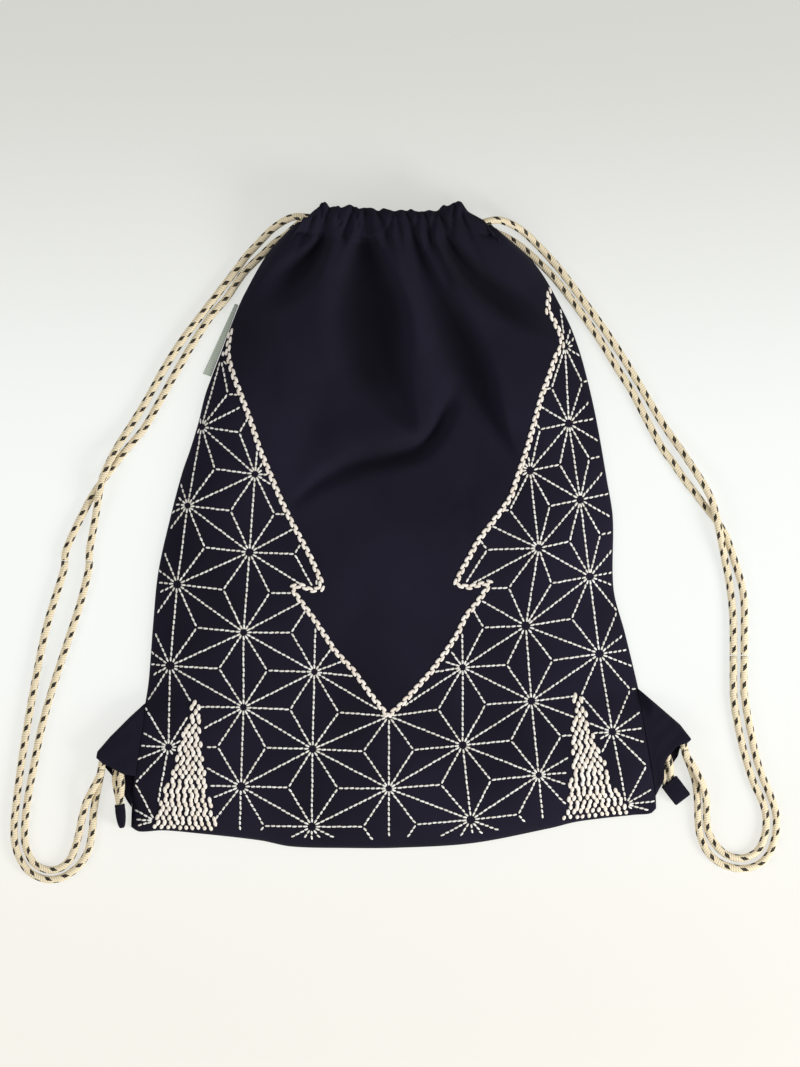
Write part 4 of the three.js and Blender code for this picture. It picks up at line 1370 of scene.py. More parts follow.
@dataclass
class BagCloth:
    """Front and back cloth of the bag, sewn together at the sides and the base."""

    shape: BagShape
    layout: Embroidery
    front_columns: int = 171
    front_rows: int = 201
    back_columns: int = 91
    back_rows: int = 111
    crowding: float = 0.15
    free_edge: Pair = (0.5, 6.0)
    painted_shade_depths: Pair = (2.0, 17.0)
    ripples: int = 6
    ripple_rise: Pair = (0.05, 0.12)
    ripple_length: Pair = (14.0, 40.0)
    ripple_columns: Pair = (0.0, 0.1)
    flat: Pair = (0.37, 0.43)

    def grid(self, columns: int, rows: int) -> tuple[Array, Array]:
        """Share out the cloth's own places, closer together at the edges.

        Args:
            columns: Points across.
            rows: Points up.

        Returns:
            The u and v of each point.
        """
        across = np.linspace(-1, 1, columns)
        up = np.linspace(0, 1, rows)
        closer = (1 + self.crowding) * across - self.crowding * across**3
        u, v = np.meshgrid(closer, (1 - self.crowding) * up + self.crowding * up**2)
        return u, v

    def stitch_lines(self) -> Array:
        """Give points along all the thread that pulls the cloth in."""
        runs = [self.layout.stars(self.shape).middle]
        runs += [self.layout.rope(side).middle for side in Side]
        runs += [self.layout.filled(side).middle for side in Side]
        return np.vstack(runs)

    def front(self, material: Material) -> Object:
        """Drape the front cloth with its folds, gathers and puckered stitch lines.

        Args:
            material: Cloth.

        Returns:
            The finished sheet.
        """
        u, v = self.grid(self.front_columns, self.front_rows)
        x, y, half = self.shape.plan(u, v)
        z = self.shape.front_height(u, v)
        near = nearness(self.stitch_lines(), np.column_stack([x.ravel(), y.ravel()])).reshape(x.shape)
        inset = np.minimum((1 - np.abs(u)) * half, v * self.shape.height)
        hold = smoothstep(*self.free_edge, inset)
        z = z - self.shape.pucker * hold * np.exp(-((near / self.shape.pucker_width) ** 2))
        points = np.stack([x, y, z], axis=2)
        piece = grid_piece("front_cloth", points, points[..., :2] * MM, material)
        # Mask of the painted shade in the fold valleys: the deeper the fold, the darker the cloth is painted.
        painted_fold_shade = smoothstep(*self.painted_shade_depths, -self.shape.fold_height(x, y))
        data = piece.data.attributes.new("painted_fold_shade", "FLOAT", "POINT").data
        data.foreach_set("value", painted_fold_shade.astype(np.float32).ravel())
        thicken(piece, self.shape.cloth)
        return place(piece, Body.BAG, Slot.CLOTH, "front_panel")

    def back(self, material: Material) -> Object:
        """Lay the back cloth on the table.

        Args:
            material: Cloth.

        Returns:
            The finished sheet.
        """
        u, v = self.grid(self.back_columns, self.back_rows)
        x, y, _ = self.shape.plan(u, v)
        draw = np.random.default_rng(SEED + 3)
        length = self.ripple_length
        ripple = sum(
            draw.uniform(*self.ripple_rise)
            * (1 + np.sin(x / draw.uniform(*length) + y / draw.uniform(*length)))
            for _ in range(self.ripples)
        )
        z = self.shape.back_height(u, v) + ripple * smoothstep(*self.ripple_columns, 1 - np.abs(u))
        points = np.stack([x, y, z], axis=2)
        piece = grid_piece("back_cloth", points, points[..., :2] * MM, material, flip=True)
        thicken(piece, self.shape.cloth)
        return place(piece, Body.BAG, Slot.CLOTH, "back_panel")


@dataclass(frozen=True)
class Lining:
    """Inner side of a hem, from its turn at the lip down the channel, in millimetres.

    The turn and the tucked ends hold drops below the lip, the channel holds Y; each has its height.
    """

    turn: Pair
    channel: Line
    tucked: Line


@dataclass
class CasingHem:
    """Gathered hem of one cloth, turned over to a channel for the cords.

    Spans are distances past the place where the lining starts to turn up.
    """

    shape: BagShape
    stations: int = 300
    cloth: float = 0.9
    ridge: float = 31.0
    fan: float = 0.012
    scallop: float = 0.4
    turn_from: float = 21.5
    centre: float = -3.0
    ring_points: int = 46
    ring_step: float = 1.0
    table_gap: float = 0.2
    levels: Triple = (200.0, 204.0, 208.5)
    level_gaps: Pair = (4.6, 2.8)
    exit_top: float = 212.0
    exit_lift: float = 4.6
    exit_span: Pair = (16.0, 28.0)
    end_span: Pair = (22.0, 36.0)
    end_drop: float = 2.8
    end_lift: Triple = (0.1, 0.7, 2.0)
    climb: float = 0.7
    end_climb: float = 0.05
    # Drop below the lip, fall below the ridge and share of the exit's lift.
    brow: Triple = (1.5, 2.2, 0.2)
    # Height of the lip and its shares of the pleats and of the exit's lift.
    rim: Triple = (25.0, 0.5, 0.6)
    gather_span: Pair = (0.0, 3.2)
    tuck_span: Pair = (2.2, 6.0)
    tuck_least: float = 205.6
    feet: Triple = (190.5, 194.0, 197.0)
    overlap: Triple = (-0.3, -0.08, 0.16)
    back_cut: float = 9.0
    back_drop: float = 0.15
    back_least: float = 212.9
    # Y, share of the cloth's height there, and height added to it.
    back_floor: tuple[Triple, ...] = (
        (196.4, 1.0, 0.3), (198.0, 0.6, 0.2), (201.0, 0.0, 0.3), (207.0, 0.0, 0.3),
    )
    # Drop below the lip, and height.
    back_turn: Line = ((1.5, 1.6), (0.3, 3.4), (0.0, 4.4))
    front_lining: Lining = Lining(
        turn=(1.2, 21.8),
        channel=((208.5, 20.3), (203, 20), (198.4, 20.1)),
        tucked=((0.5, 23.6), (0.8, 23.3), (1.1, 23.1), (1.4, 23.0)),
    )
    back_lining: Lining = Lining(
        turn=(1.2, 7.4),
        channel=((208.5, 9.1), (203, 9.2), (198.4, 9.1)),
        tucked=((0.2, 5.4), (0.35, 6.2), (0.5, 7), (0.65, 7.6)),
    )
    lip: Line = (
        (-60.8, 206.2), (-57.7, 209), (-55.4, 211.4), (-50.9, 215.5), (-47.2, 218.9), (-45, 217.8),
        (-43.3, 215.9), (-37, 216.1), (-35.5, 214.9), (-29.7, 217), (-25.2, 215.6), (-23.4, 214.3),
        (-19.2, 215.4), (-13.9, 214.6), (-9.8, 213.1), (-7.1, 214.5), (-4.1, 213.8), (0.2, 212.9),
        (5, 213.5), (9.5, 213.3), (11.8, 214), (14.4, 212.7), (18.6, 212.5), (23.9, 213.3),
        (27.3, 212.7), (30.5, 214.2), (33.7, 216.7), (36, 216.1), (38.2, 216.9), (41.2, 218.9),
        (43.4, 219.4), (46, 218.5), (47.8, 215.9), (50.3, 212.5), (56.3, 209), (60.5, 206.6),
    )

    def fanned(self, x: float | Array, y: float | Array) -> Array:
        """Spread a station's X where the gathers fan out below the channel."""
        return self.centre + (x - self.centre) * (1 + self.fan * np.maximum(self.shape.pleat_row - y, 0))

    def edge(self, x: Array) -> Array:
        """Give the scalloped lip line at x."""
        lip = through(self.lip, x)
        return lip + self.scallop * self.shape.pleat(x, lip)

    def lining(self, half: Lining, lip: float, reach: float, lift: float) -> list[Pair]:
        """Lead the hem's inner side down the channel, or keep it up at the lip near the ends.

        Args:
            half: Lining of this hem.
            lip: Y of the lip.
            reach: Distance past the place where the lining starts to turn up.
            lift: Rise over the cord that leaves there.

        Returns:
            Y and Z of its points.
        """
        gather = float(smoothstep(*self.gather_span, np.array(reach)))
        tuck = float(smoothstep(*self.tuck_span, np.array(reach)))
        inner = [(lip - half.turn[0], half.turn[1]), *half.channel]
        tucked = [(max(lip - drop, self.tuck_least), z + lift) for drop, z in half.tucked]
        return [(mix(a[0], b[0], gather), mix(a[1], b[1], tuck)) for a, b in zip(inner, tucked)]

    def section(self, x: float, feet: Array, front: bool) -> Array:
        """Give the hem's section at one station.

        Args:
            x: X of the station.
            feet: Heights of the cloth below, at the hem's three lowest places.
            front: True for the front hem.

        Returns:
            Y and Z from the cloth over the lip to the inner edge.
        """
        lip = float(self.edge(np.array(x)))
        reach = abs(x - self.centre) - self.turn_from
        if not front:
            lip = max(lip - self.back_drop, self.back_least)
            outer = [(y, share * feet[2] + gap) for y, share, gap in self.back_floor]
            outer += [(lip - drop, z) for drop, z in self.back_turn]
            return np.asarray(outer + self.lining(self.back_lining, lip, reach, 0.0))
        right = x > self.centre
        end = float(smoothstep(*self.end_span, np.array(reach))) if right else 0.0
        lift = 0.0 if right else self.exit_lift * float(smoothstep(*self.exit_span, np.array(reach)))
        top = lip if right else max(lip, self.exit_top)
        upper = [min(level, top - drop) for level, drop in zip(self.levels[1:], self.level_gaps)]
        levels = np.array([self.levels[0], *upper, lip])
        rise = self.shape.pleat_rise * self.shape.pleat(self.fanned(x, levels), levels)
        ridge = self.ridge - self.end_drop * end
        raised = feet + np.array(self.overlap) + end * np.array(self.end_lift)
        climb = self.climb - self.end_climb * end
        brow_drop, brow_fall, brow_lift = self.brow
        rim, rim_pleat, rim_lift = self.rim
        outer = list(zip(self.feet, raised))
        outer += [(levels[0], mix(raised[2], ridge + rise[0], climb))]
        outer += [(levels[k], ridge + rise[k]) for k in (1, 2)]
        outer += [(lip - brow_drop, ridge - brow_fall + rise[3] + brow_lift * lift)]
        outer += [(lip, rim + rim_pleat * rise[3] + rim_lift * lift)]
        return np.asarray(outer + self.lining(self.front_lining, lip, reach, lift))

    def build(self, name: str, front: bool, material: Material) -> Object:
        """Make the hem.

        Args:
            name: Name of the piece.
            front: True for the front hem.
            material: Cloth.

        Returns:
            The finished hem.
        """
        cut = 0.0 if front else self.back_cut
        at = np.linspace(self.lip[0][0] + cut, self.lip[-1][0] - cut, self.stations)
        x, y = np.meshgrid(at, self.feet, indexing="ij")
        places = self.shape.locate(self.fanned(x, y), y)
        feet = self.shape.front_height(*places) if front else self.shape.back_height(*places)
        rings = []
        for station, low in zip(at, feet):
            corners = self.section(float(station), low, front)
            line = np.column_stack([self.fanned(station, corners[:, 0]), corners])
            rings.append(spread(smooth_route(line, self.ring_step), self.ring_points))
        points = np.stack(rings)
        points[..., 2] = np.maximum(points[..., 2], self.table_gap)
        run = run_along(points)
        uv = np.stack([np.broadcast_to(at[:, None], run.shape), run], axis=2) * MM
        piece = thicken(grid_piece(name, points, uv, material, flip=front), self.cloth)
        for vertex in piece.data.vertices:
            vertex.co.z = max(vertex.co.z, self.table_gap * MM / 2)
        return piece


@dataclass
class Corner:
    """Folded cloth loop at a lower corner, and the hook that the cords make in it."""

    side: Side
    body: Body
    up: Pair
    out: Pair
    seam: Pair
    hook: Pair
    fold: Line
    front_hem: Line
    back_hem: Line
    radius: float = 6.5
    low: float = 4.0
    high: float = 9.4
    full_height: float = 12.9
    cloth: float = 0.9
    stations: int = 60
    flat: Pair = (0.05, 0.06)
    inside_seam: float = 0.5
    crowding: float = 1.6
    least_width: float = 0.3
    under_height: Pair = (1.1, 0.3)
    under_span: Pair = (0.6, 5.0)
    seam_height: float = 2.3
    swell_span: Pair = (0.6, 7.5)
    tip_fall: float = 0.45
    tip_length: float = 2.2
    bend_most: float = 4.5
    bend_share: float = 0.6
    bend_angle: float = 80.0
    section_points: tuple[int, int, int] = (18, 11, 14)
    # Rise of a wave, and its lengths along the seam and out from it.
    waves: tuple[Triple, ...] = ((0.35, 3.1, 4.3), (0.25, 1.9, -2.7))
    # Where the loop starts and ends to bend, out from the seam, and the height of that line.
    bend_line: Triple = (-1.0, 6.0, 2.0)

    def at(self, n: Array, t: Array) -> tuple[Array, Array]:
        """Turn a place out from the seam and up along it to X and Y."""
        x = self.seam[0] + self.out[0] * n + self.up[0] * t
        y = self.seam[1] + self.out[1] * n + self.up[1] * t
        return x, y

    def hook_point(self, degrees: float, drop: float, z: float) -> Triple:
        """Give a point of the hook.

        Args:
            degrees: 180 where the strand comes in, 0 where its tail leaves.
            drop: Distance below the hook.
            z: Height.

        Returns:
            The point in millimetres.
        """
        a = math.radians(degrees)
        across = -self.radius * math.cos(a)
        along = self.radius * math.sin(a) - drop
        x = self.hook[0] + self.out[0] * across + self.up[0] * along
        y = self.hook[1] + self.out[1] * across + self.up[1] * along
        return x, y, z

    def line(self, points: Line, n: float) -> float:
        """Read one edge of the loop at n."""
        return float(np.interp(n, *np.asarray(points).T))

    def build(self, shape: BagShape, material: Material) -> Object:
        """Fold the loop over the cords.

        Args:
            shape: Bag that the loop is sewn to.
            material: Cloth.

        Returns:
            The finished loop.
        """
        side = self.side.value
        reach = self.fold[-1][0]
        share = np.linspace(0, 1, self.stations)
        phase = np.random.default_rng(SEED + 5).uniform(0, math.tau, len(self.waves))
        across_top, across_bend, across_under = self.section_points
        turn = np.radians(np.linspace(self.bend_angle, -self.bend_angle, across_bend))
        rows = []
        for n in -self.inside_seam + (reach + self.inside_seam) * (1 - (1 - share) ** self.crowding):
            top_edge = self.line(self.fold, n)
            hem = min(self.line(self.front_hem, n), top_edge - self.least_width)
            under = min(self.line(self.back_hem, n), top_edge - self.least_width)
            bottom = float(mix(*self.under_height, smoothstep(*self.under_span, n)))
            tip = float(1 - self.tip_fall * smoothstep(reach - self.tip_length, reach, n))
            swell = float(smoothstep(*self.swell_span, n)) * tip
            bend = min(self.bend_most, (top_edge - hem) * self.bend_share)
            upper = np.linspace(hem, top_edge - bend, across_top)
            held = shape.tab_hold(self.at(n, upper)[1])
            height = mix(self.seam_height + held, self.full_height, swell)
            for (rise, along, out), start in zip(self.waves, phase):
                height += rise * swell * np.sin(upper / along + n / out + start)
            half = (height[-1] - bottom) / 2
            curve = [(top_edge - bend + bend * math.cos(a), bottom + half + half * math.sin(a)) for a in turn]
            lower = [(t, bottom) for t in np.linspace(top_edge - bend, under, across_under)]
            section = np.asarray([*zip(upper, height), *curve, *lower])
            x, y = self.at(np.full(len(section), n), section[:, 0])
            rows.append(np.column_stack([x, y, section[:, 1]]))
        points = np.stack(rows)
        run = run_along(points)
        uv = np.stack([np.broadcast_to((share * reach)[:, None], run.shape), run], axis=2) * MM
        piece = grid_piece(f"{side}_corner_cloth", points, uv, material, flip=self.side is Side.RIGHT)
        thicken(piece, self.cloth)
        *stops, level = self.bend_line
        start, end = ((*(np.array(self.at(n, 0.0)) * MM), level * MM) for n in stops)
        place(piece, Body.BAG, Slot.CLOTH, f"{side}_corner_loop", bend=Bend(self.body, start, end))
        return piece


@dataclass
class EndCover:
    """Little square of cloth folded and sewn over a pair of cord ends."""

    side: Side
    body: Body
    mouth: Triple
    along: Triple
    across: Triple
    width: float = 13.0
    depth: float = 6.8
    squareness: float = 4.5
    sides: int = 40
    flat: Pair = (0.0165, 0.034)
    # Distance from the mouth of each ring, and how much narrower and thinner it is.
    rings: tuple[Triple, ...] = (
        (6.0, 2.4, 2.2), (1.2, 2.0, 1.8), (0.2, 1.5, 1.3), (0.0, 0.9, 0.7), (0.4, 0.2, 0.1), (1.6, 0, 0),
        (2.4, 0.3, 0.3), (3.4, 0, 0), (6.0, 0, 0), (9.0, 0.1, 0.4), (12.0, 0.2, 1.2), (14.4, 0.2, 2.4),
        (15.5, 0.5, 3.2), (16.0, 1.4, 4.4),
    )

    def ring(self, at: float, width: float, depth: float) -> Array:
        """Give one ring of the cover.

        Args:
            at: Distance from the mouth.
            width: Full width of the ring.
            depth: Full depth of the ring.

        Returns:
            Points of the ring.
        """
        angle = np.linspace(0, math.tau, self.sides, endpoint=False)
        along = np.asarray(self.along)
        across = np.asarray(self.across)
        place_on_ring = np.asarray(self.mouth) + along * at
        for axis, wave, full in (
            (across, np.cos(angle), width),
            (np.cross(across, along), np.sin(angle), depth),
        ):
            away = np.sign(wave) * np.abs(wave) ** (2 / self.squareness) * full / 2
            place_on_ring = place_on_ring + away[:, None] * axis
        return place_on_ring

    def build(self, material: Material) -> Object:
        """Fold the cover round the cord ends.

        Args:
            material: Cloth.

        Returns:
            The finished cover.
        """
        side = self.side.value
        points = np.stack([self.ring(at, self.width - w, self.depth - d) for at, w, d in self.rings])
        turn = np.linspace(0, 2 * (self.width + self.depth), self.sides + 1)
        uv = np.stack(np.broadcast_arrays(turn[None], run_along(points[:, 0])[:, None]), axis=2) * MM
        piece = grid_piece(f"{side}_cover_cloth", points, uv, material, closed=True, capped=True)
        return place(piece, self.body, Slot.CLOTH, f"{side}_end_cover")


@dataclass
class SideLabel:
    """Narrow bare tape sewn into the left seam."""

    inner: tuple[Pair, Pair] = ((-105.6, 150.2), (-124.2, 101.5))
    outer: tuple[Pair, Pair] = ((-108.0, 151.0), (-129.8, 103.3))
    height: float = 1.0
    thickness: float = 0.5
    stations: tuple[int, int] = (40, 7)
    wave_rise: float = 0.12
    wave_turn: float = 9.0
    shown_size: Pair = (5.5, 52.0)
    shown_area: float = 0.00021
    flat: Pair = (0.010, 0.052)

    def build(self, material: Material) -> Object:
        """Lay the tape beside the seam.

        Args:
            material: Tape.

        Returns:
            The finished label.
        """
        along = np.linspace(0, 1, self.stations[0])[:, None, None]
        across = np.linspace(0, 1, self.stations[1])[None, :, None]
        inner, outer = (mix(*np.array(edge), along) for edge in (self.inner, self.outer))
        plan = mix(inner, outer, across)
        wave = self.wave_rise * np.sin(along * self.wave_turn) * across
        z = np.broadcast_to(self.height + wave, plan.shape[:2] + (1,))
        points = np.concatenate([plan, z], axis=2)
        width, length = self.shown_size
        uv = np.stack(np.broadcast_arrays(across[..., 0] * width, along[..., 0] * length), axis=2) * MM
        piece = grid_piece("side_label_tape", points, uv, material)
        thicken(piece, self.thickness)
        return place(piece, Body.LABEL, Slot.LABEL, "side_label")


@dataclass
class CordPiece:
    """One stretch of braided cord; points of its route without a height lie on the table."""

    name: str
    route: Route
    diameter: float = 5.0
    lying: float = 2.8
    sides: int = 16
    step: float = 2.2
    upright: Triple = (0.0, 0.0, 1.0)

    def path(self) -> Array:
        """Give the evenly spaced middle line."""
        return smooth_route([(*point, self.lying)[:3] for point in self.route], self.step)

    def length(self) -> float:
        """Give the length of the middle line."""
        return float(run_along(self.path())[-1])

    def sweep(self, offset: float, material: Material) -> Object:
        """Sweep the cord along its route.

        Args:
            offset: Length of cord before this stretch, which carries the flecks on.
            material: Braid.

        Returns:
            The tube.
        """
        path = self.path()
        way = unit(np.gradient(path, axis=0))
        aside = unit(np.cross(way, np.asarray(self.upright)))
        over = np.cross(aside, way)
        angle = np.linspace(0, math.tau, self.sides, endpoint=False)
        ring = np.cos(angle)[None, :, None] * aside[:, None] + np.sin(angle)[None, :, None] * over[:, None]
        points = path[:, None] + ring * self.diameter / 2
        run = offset + run_along(path)
        turn = np.linspace(0, 1, self.sides + 1)
        uv = np.stack(np.broadcast_arrays(run[:, None] * MM, turn[None]), axis=2)
        return grid_piece(self.name, points, uv, material, flip=True, closed=True, capped=True)

    def build(
        self, offset: float, material: Material, body: Body, node: str, bend: Bend | None = None
    ) -> None:
        """Make the stretch and say what it is.

        Args:
            offset: Length of cord before this stretch.
            material: Braid.
            body: Body that carries it.
            node: Solid that it stands for.
            bend: Stretch where a second body takes over.
        """
        piece = place(self.sweep(offset, material), body, Slot.CORD, node, bend=bend)
        self.length() * MM


@dataclass
class Drawcord:
    """One drawcord: its loop in the casing, its two strands and their tails in the corner."""

    corner: Corner
    body: Body
    run_y: float
    front_upper: Route
    back_upper: Route
    front_lower: Route
    back_lower: Route
    front_rest: Route
    back_rest: Route
    slack_end: float
    tab_from: float
    tab_to: float
    front_turn_end: float = 20.0
    back_turn_end: float = 20.0
    casing_centre: float = -3.0
    casing_half: float = 54.6
    casing_inset: float = 2.5
    casing_shares: tuple[float, ...] = (0, 0.3, 0.6, 0.9)
    casing_bend: int = 9
    front_z: float = 24.3
    back_z: float = 4.5
    turn_offset: float = 40.5
    slack_start: float = 60.0
    tab_lean: float = 0.14
    # Distances below the hook of the last points of a strand and of the first points of its tail.
    strand_drops: Pair = (7.0, 4.15)
    tail_drops: Pair = (3.85, 1.5)
    leave_drop: float = 2.0
    hook_angles: tuple[float, ...] = (160, 125, 90, 55, 20)

    def casing_route(self) -> Route:
        """Run the loop along the front channel, round its far end and back along the back one."""
        side = self.corner.side.sign
        start = self.casing_centre + side * (self.casing_half - self.casing_inset)
        turn = self.casing_centre - side * self.turn_offset
        runs = [start + (turn - start) * share for share in self.casing_shares]
        middle = (self.front_z + self.back_z) / 2
        radius = (self.front_z - self.back_z) / 2
        front = [(x, self.run_y, self.front_z) for x in runs]
        bend = [
            (turn - side * radius * math.cos(a), self.run_y, middle + radius * math.sin(a))
            for a in np.radians(np.linspace(90, -90, self.casing_bend))
        ]
        back = [(x, self.run_y, self.back_z) for x in reversed(runs)]
        return (*front, *bend, *back)

    def tail_route(self, z: float, rest: Route, turn_end: float) -> Route:
        """Turn a strand round the hook and on to its end cover.

        Args:
            z: Height of the turn.
            rest: Points after the turn.
            turn_end: Last angle of the hook that the strand follows, in degrees.

        Returns:
            The route.
        """
        hook = self.corner.hook_point
        bend = [hook(degrees, 0, z) for degrees in self.hook_angles if degrees >= turn_end]
        leave = [hook(0, self.leave_drop, z)] if turn_end <= self.hook_angles[-1] else []
        return (*(hook(180, drop, z) for drop in self.tail_drops), *bend, *leave, *rest)

    def build(self, material: Material) -> None:
        """Make every stretch of the cord.

        Args:
            material: Braid.
        """
        corner = self.corner
        side = corner.side.value
        hook_y = corner.hook[1]
        lean = self.tab_lean * abs(self.tab_to - self.tab_from)
        slack = Bend(Body.BAG, (0.0, self.slack_start * MM, 0.0), (0.0, self.slack_end * MM, 0.0))
        fold_end = (self.tab_to * MM, (hook_y - lean) * MM, 0.0)
        fold = Bend(corner.body, (self.tab_from * MM, hook_y * MM, 0.0), fold_end)
        loop = CordPiece(f"{side}_casing_cord", self.casing_route(), upright=(0.0, 1.0, 0.0))
        loop.build(0.0, material, self.body, f"{side}_cord_casing_loop")
        for layer, z, above, below, rest, turn_end in (
            ("front", corner.high, self.front_upper, self.front_lower, self.front_rest, self.front_turn_end),
            ("back", corner.low, self.back_upper, self.back_lower, self.back_rest, self.back_turn_end),
        ):
            name = f"{side}_{layer}"
            entry = [corner.hook_point(180, drop, z) for drop in self.strand_drops]
            upper = CordPiece(f"{name}_upper_cord", above)
            lower = CordPiece(f"{name}_lower_cord", (*below, *entry))
            tail = CordPiece(f"{name}_tail_cord", self.tail_route(z, rest, turn_end))
            upper.build(0.0, material, self.body, f"{name}_strand_upper", slack)
            lower.build(upper.length(), material, Body.BAG, f"{name}_strand_lower", fold)
            tail.build(upper.length() + lower.length(), material, corner.body, f"{name}_tail")


@dataclass
class Studio:
    """Plain pale table, soft lamps and the camera straight above."""

    aim: Pair = (4.3, -5.2)
    view_height: float = 725.6
    camera_height: float = 4.0
    sensor: float = 36.0
    clip_end: float = 50.0
    table: float = 8.0
    table_drop: float = 0.0001
    table_near: str = "#f7f4ec"
    # Painted light: Y where each further tone of the table begins and is full, in metres; a brighter pool
    # round the bag, a greyer falloff behind it.
    table_painted_light: tuple[tuple[float, float, str], ...] = ((-0.35, -0.05, "#fafcf9"), (0.02, 0.37, "#d9d9d3"))
    table_roughness: float = 0.6
    table_glow: float = 0.7
    world_strength: float = 0.45
    world_shown: float = 0.9
    lamp_size: float = 0.8
    lamps: tuple[tuple[Triple, float], ...] = (((-1.6, -0.3, 1.3), 10.0), ((1.6, -0.9, 1.0), 36.0))

    def looked_at(self, tree: NodeTree) -> NodeSocket:
        """Give 1 for rays that show the background and 0 for those that light the bag.

        Args:
            tree: Tree that asks.

        Returns:
            The output that tells them apart.
        """
        ray = add_node(tree, "ShaderNodeLightPath")
        shown = ray.outputs["Is Camera Ray"]
        for kind in ("Is Glossy Ray", "Is Transmission Ray"):
            either = {0: shown, 1: ray.outputs[kind]}
            shown = add_node(tree, "ShaderNodeMath", either, operation="MAXIMUM").outputs[0]
        return shown

    def floor(self) -> None:
        """Lay the table with painted light, brighter round the bag and greyer behind it, with the bag's
        shadow kept faint.
        """
        half = self.table / 2
        mesh = bpy.data.meshes.new("table_top")
        around = ((-half, -half), (half, -half), (half, half), (-half, half))
        mesh.from_pydata([(x, y, -self.table_drop) for x, y in around], [], [(0, 1, 2, 3)])
        material = blank_material("matt_white_laminate")
        tree = material.node_tree
        spot = add_node(tree, "ShaderNodeTexCoord").outputs["Object"]
        y = add_node(tree, "ShaderNodeSeparateXYZ", {0: spot}).outputs[1]
        colour = linear(self.table_near)
        # Painted light: the table's colour is brightened round the bag and greyed behind it.
        for begins, full, painted_light_tone in self.table_painted_light:
            span = {"Value": y, "From Min": begins, "From Max": full}
            share = add_node(tree, "ShaderNodeMapRange", span, interpolation_type="SMOOTHSTEP").outputs[0]
            tones = {0: share, 6: colour, 7: linear(painted_light_tone)}
            colour = add_node(tree, "ShaderNodeMix", tones, data_type="RGBA").outputs[2]
        surface = {"Base Color": colour, "Roughness": self.table_roughness}
        matt = add_node(tree, "ShaderNodeBsdfPrincipled", surface).outputs[0]
        plain = add_node(tree, "ShaderNodeEmission", {"Color": colour, "Strength": 1.0}).outputs[0]
        shares = {0: self.looked_at(tree), 1: self.table_glow}
        glow = add_node(tree, "ShaderNodeMath", shares, operation="MULTIPLY").outputs[0]
        shader = add_node(tree, "ShaderNodeMixShader", {0: glow, 1: matt, 2: plain})
        add_node(tree, "ShaderNodeOutputMaterial", {"Surface": shader.outputs[0]})
        mesh.materials.append(material)
        new_object("table_top", mesh)

    def light(self) -> None:
        """Set an even sky and one soft lamp on each side."""
        world = bpy.data.worlds.new("plain_studio")
        world.use_nodes = True
        tree = world.node_tree
        tree.nodes.clear()
        sight = {"Value": self.looked_at(tree), "To Min": self.world_strength, "To Max": self.world_shown}
        strength = add_node(tree, "ShaderNodeMapRange", sight).outputs[0]
        white = {"Color": (1.0, 1.0, 1.0, 1.0), "Strength": strength}
        sky = add_node(tree, "ShaderNodeBackground", white)
        add_node(tree, "ShaderNodeOutputWorld", {"Surface": sky.outputs[0]})
        bpy.context.scene.world = world
        for number, (spot, power) in enumerate(self.lamps):
            lamp = bpy.data.lights.new(f"soft_lamp_{number}", "AREA")
            lamp.energy = power
            lamp.size = self.lamp_size
            obj = new_object(lamp.name, lamp)
            obj.location = spot
            obj.rotation_euler = (-Vector(spot)).to_track_quat("-Z", "Y").to_euler()

    def camera(self) -> None:
        """Hang the camera straight above the bag."""
        lens = bpy.data.cameras.new("overhead_camera")
        lens.sensor_width = self.sensor
        lens.lens = self.sensor * self.camera_height / (self.view_height * MM)
        lens.clip_end = self.clip_end
        obj = new_object("overhead_camera", lens)
        obj.location = (self.aim[0] * MM, self.aim[1] * MM, self.camera_height)
        bpy.context.scene.camera = obj

    def build(self) -> None:
        """Set up the whole studio."""
        self.floor()
        self.light()
        self.camera()
        bpy.context.scene.view_settings.view_transform = "Standard"


LEFT_CORNER = Corner(
    side=Side.LEFT,
    body=Body.LEFT_TAB,
    up=(0.141, 0.99),
    out=(-0.99, 0.141),
    seam=(-172.1, -145.0),
    hook=(-191.5, -162.2),
    fold=((-0.5, 25.5), (0.9, 24.1), (9, 14.3), (20.4, -0.9), (27.5, -12)),
    front_hem=((-0.5, -24.9), (1, -24.9), (7.2, -24.8), (15.1, -22.1), (23.5, -19), (27.3, -16.5)),
    back_hem=((-0.5, -46.8), (6.4, -38.5), (14.55, -28.3), (23.8, -19.9), (27.3, -16.5)),
)
RIGHT_CORNER = Corner(
    side=Side.RIGHT,
    body=Body.RIGHT_TAB,
    up=(-0.168, 0.986),
    out=(0.986, 0.168),
    seam=(172.1, -145.0),
    hook=(190.5, -149.0),
    fold=((-0.5, 35.4), (1.3, 33.3), (10.75, 22), (23.7, 6.3), (29.2, -3.95)),
    front_hem=(
        (-0.5, -38.2), (1.4, -35.8), (6.3, -28.5), (9.1, -16.8), (11.7, -14.2), (18.6, -7.9), (26.6, -6.6),
        (29.2, -5),
    ),
    back_hem=(
        (-0.5, -39), (1.4, -36.4), (6.3, -29), (13.2, -20.8), (19, -14.8), (20.85, -10.45), (25.9, -7.15),
        (29.2, -5),
    ),
)
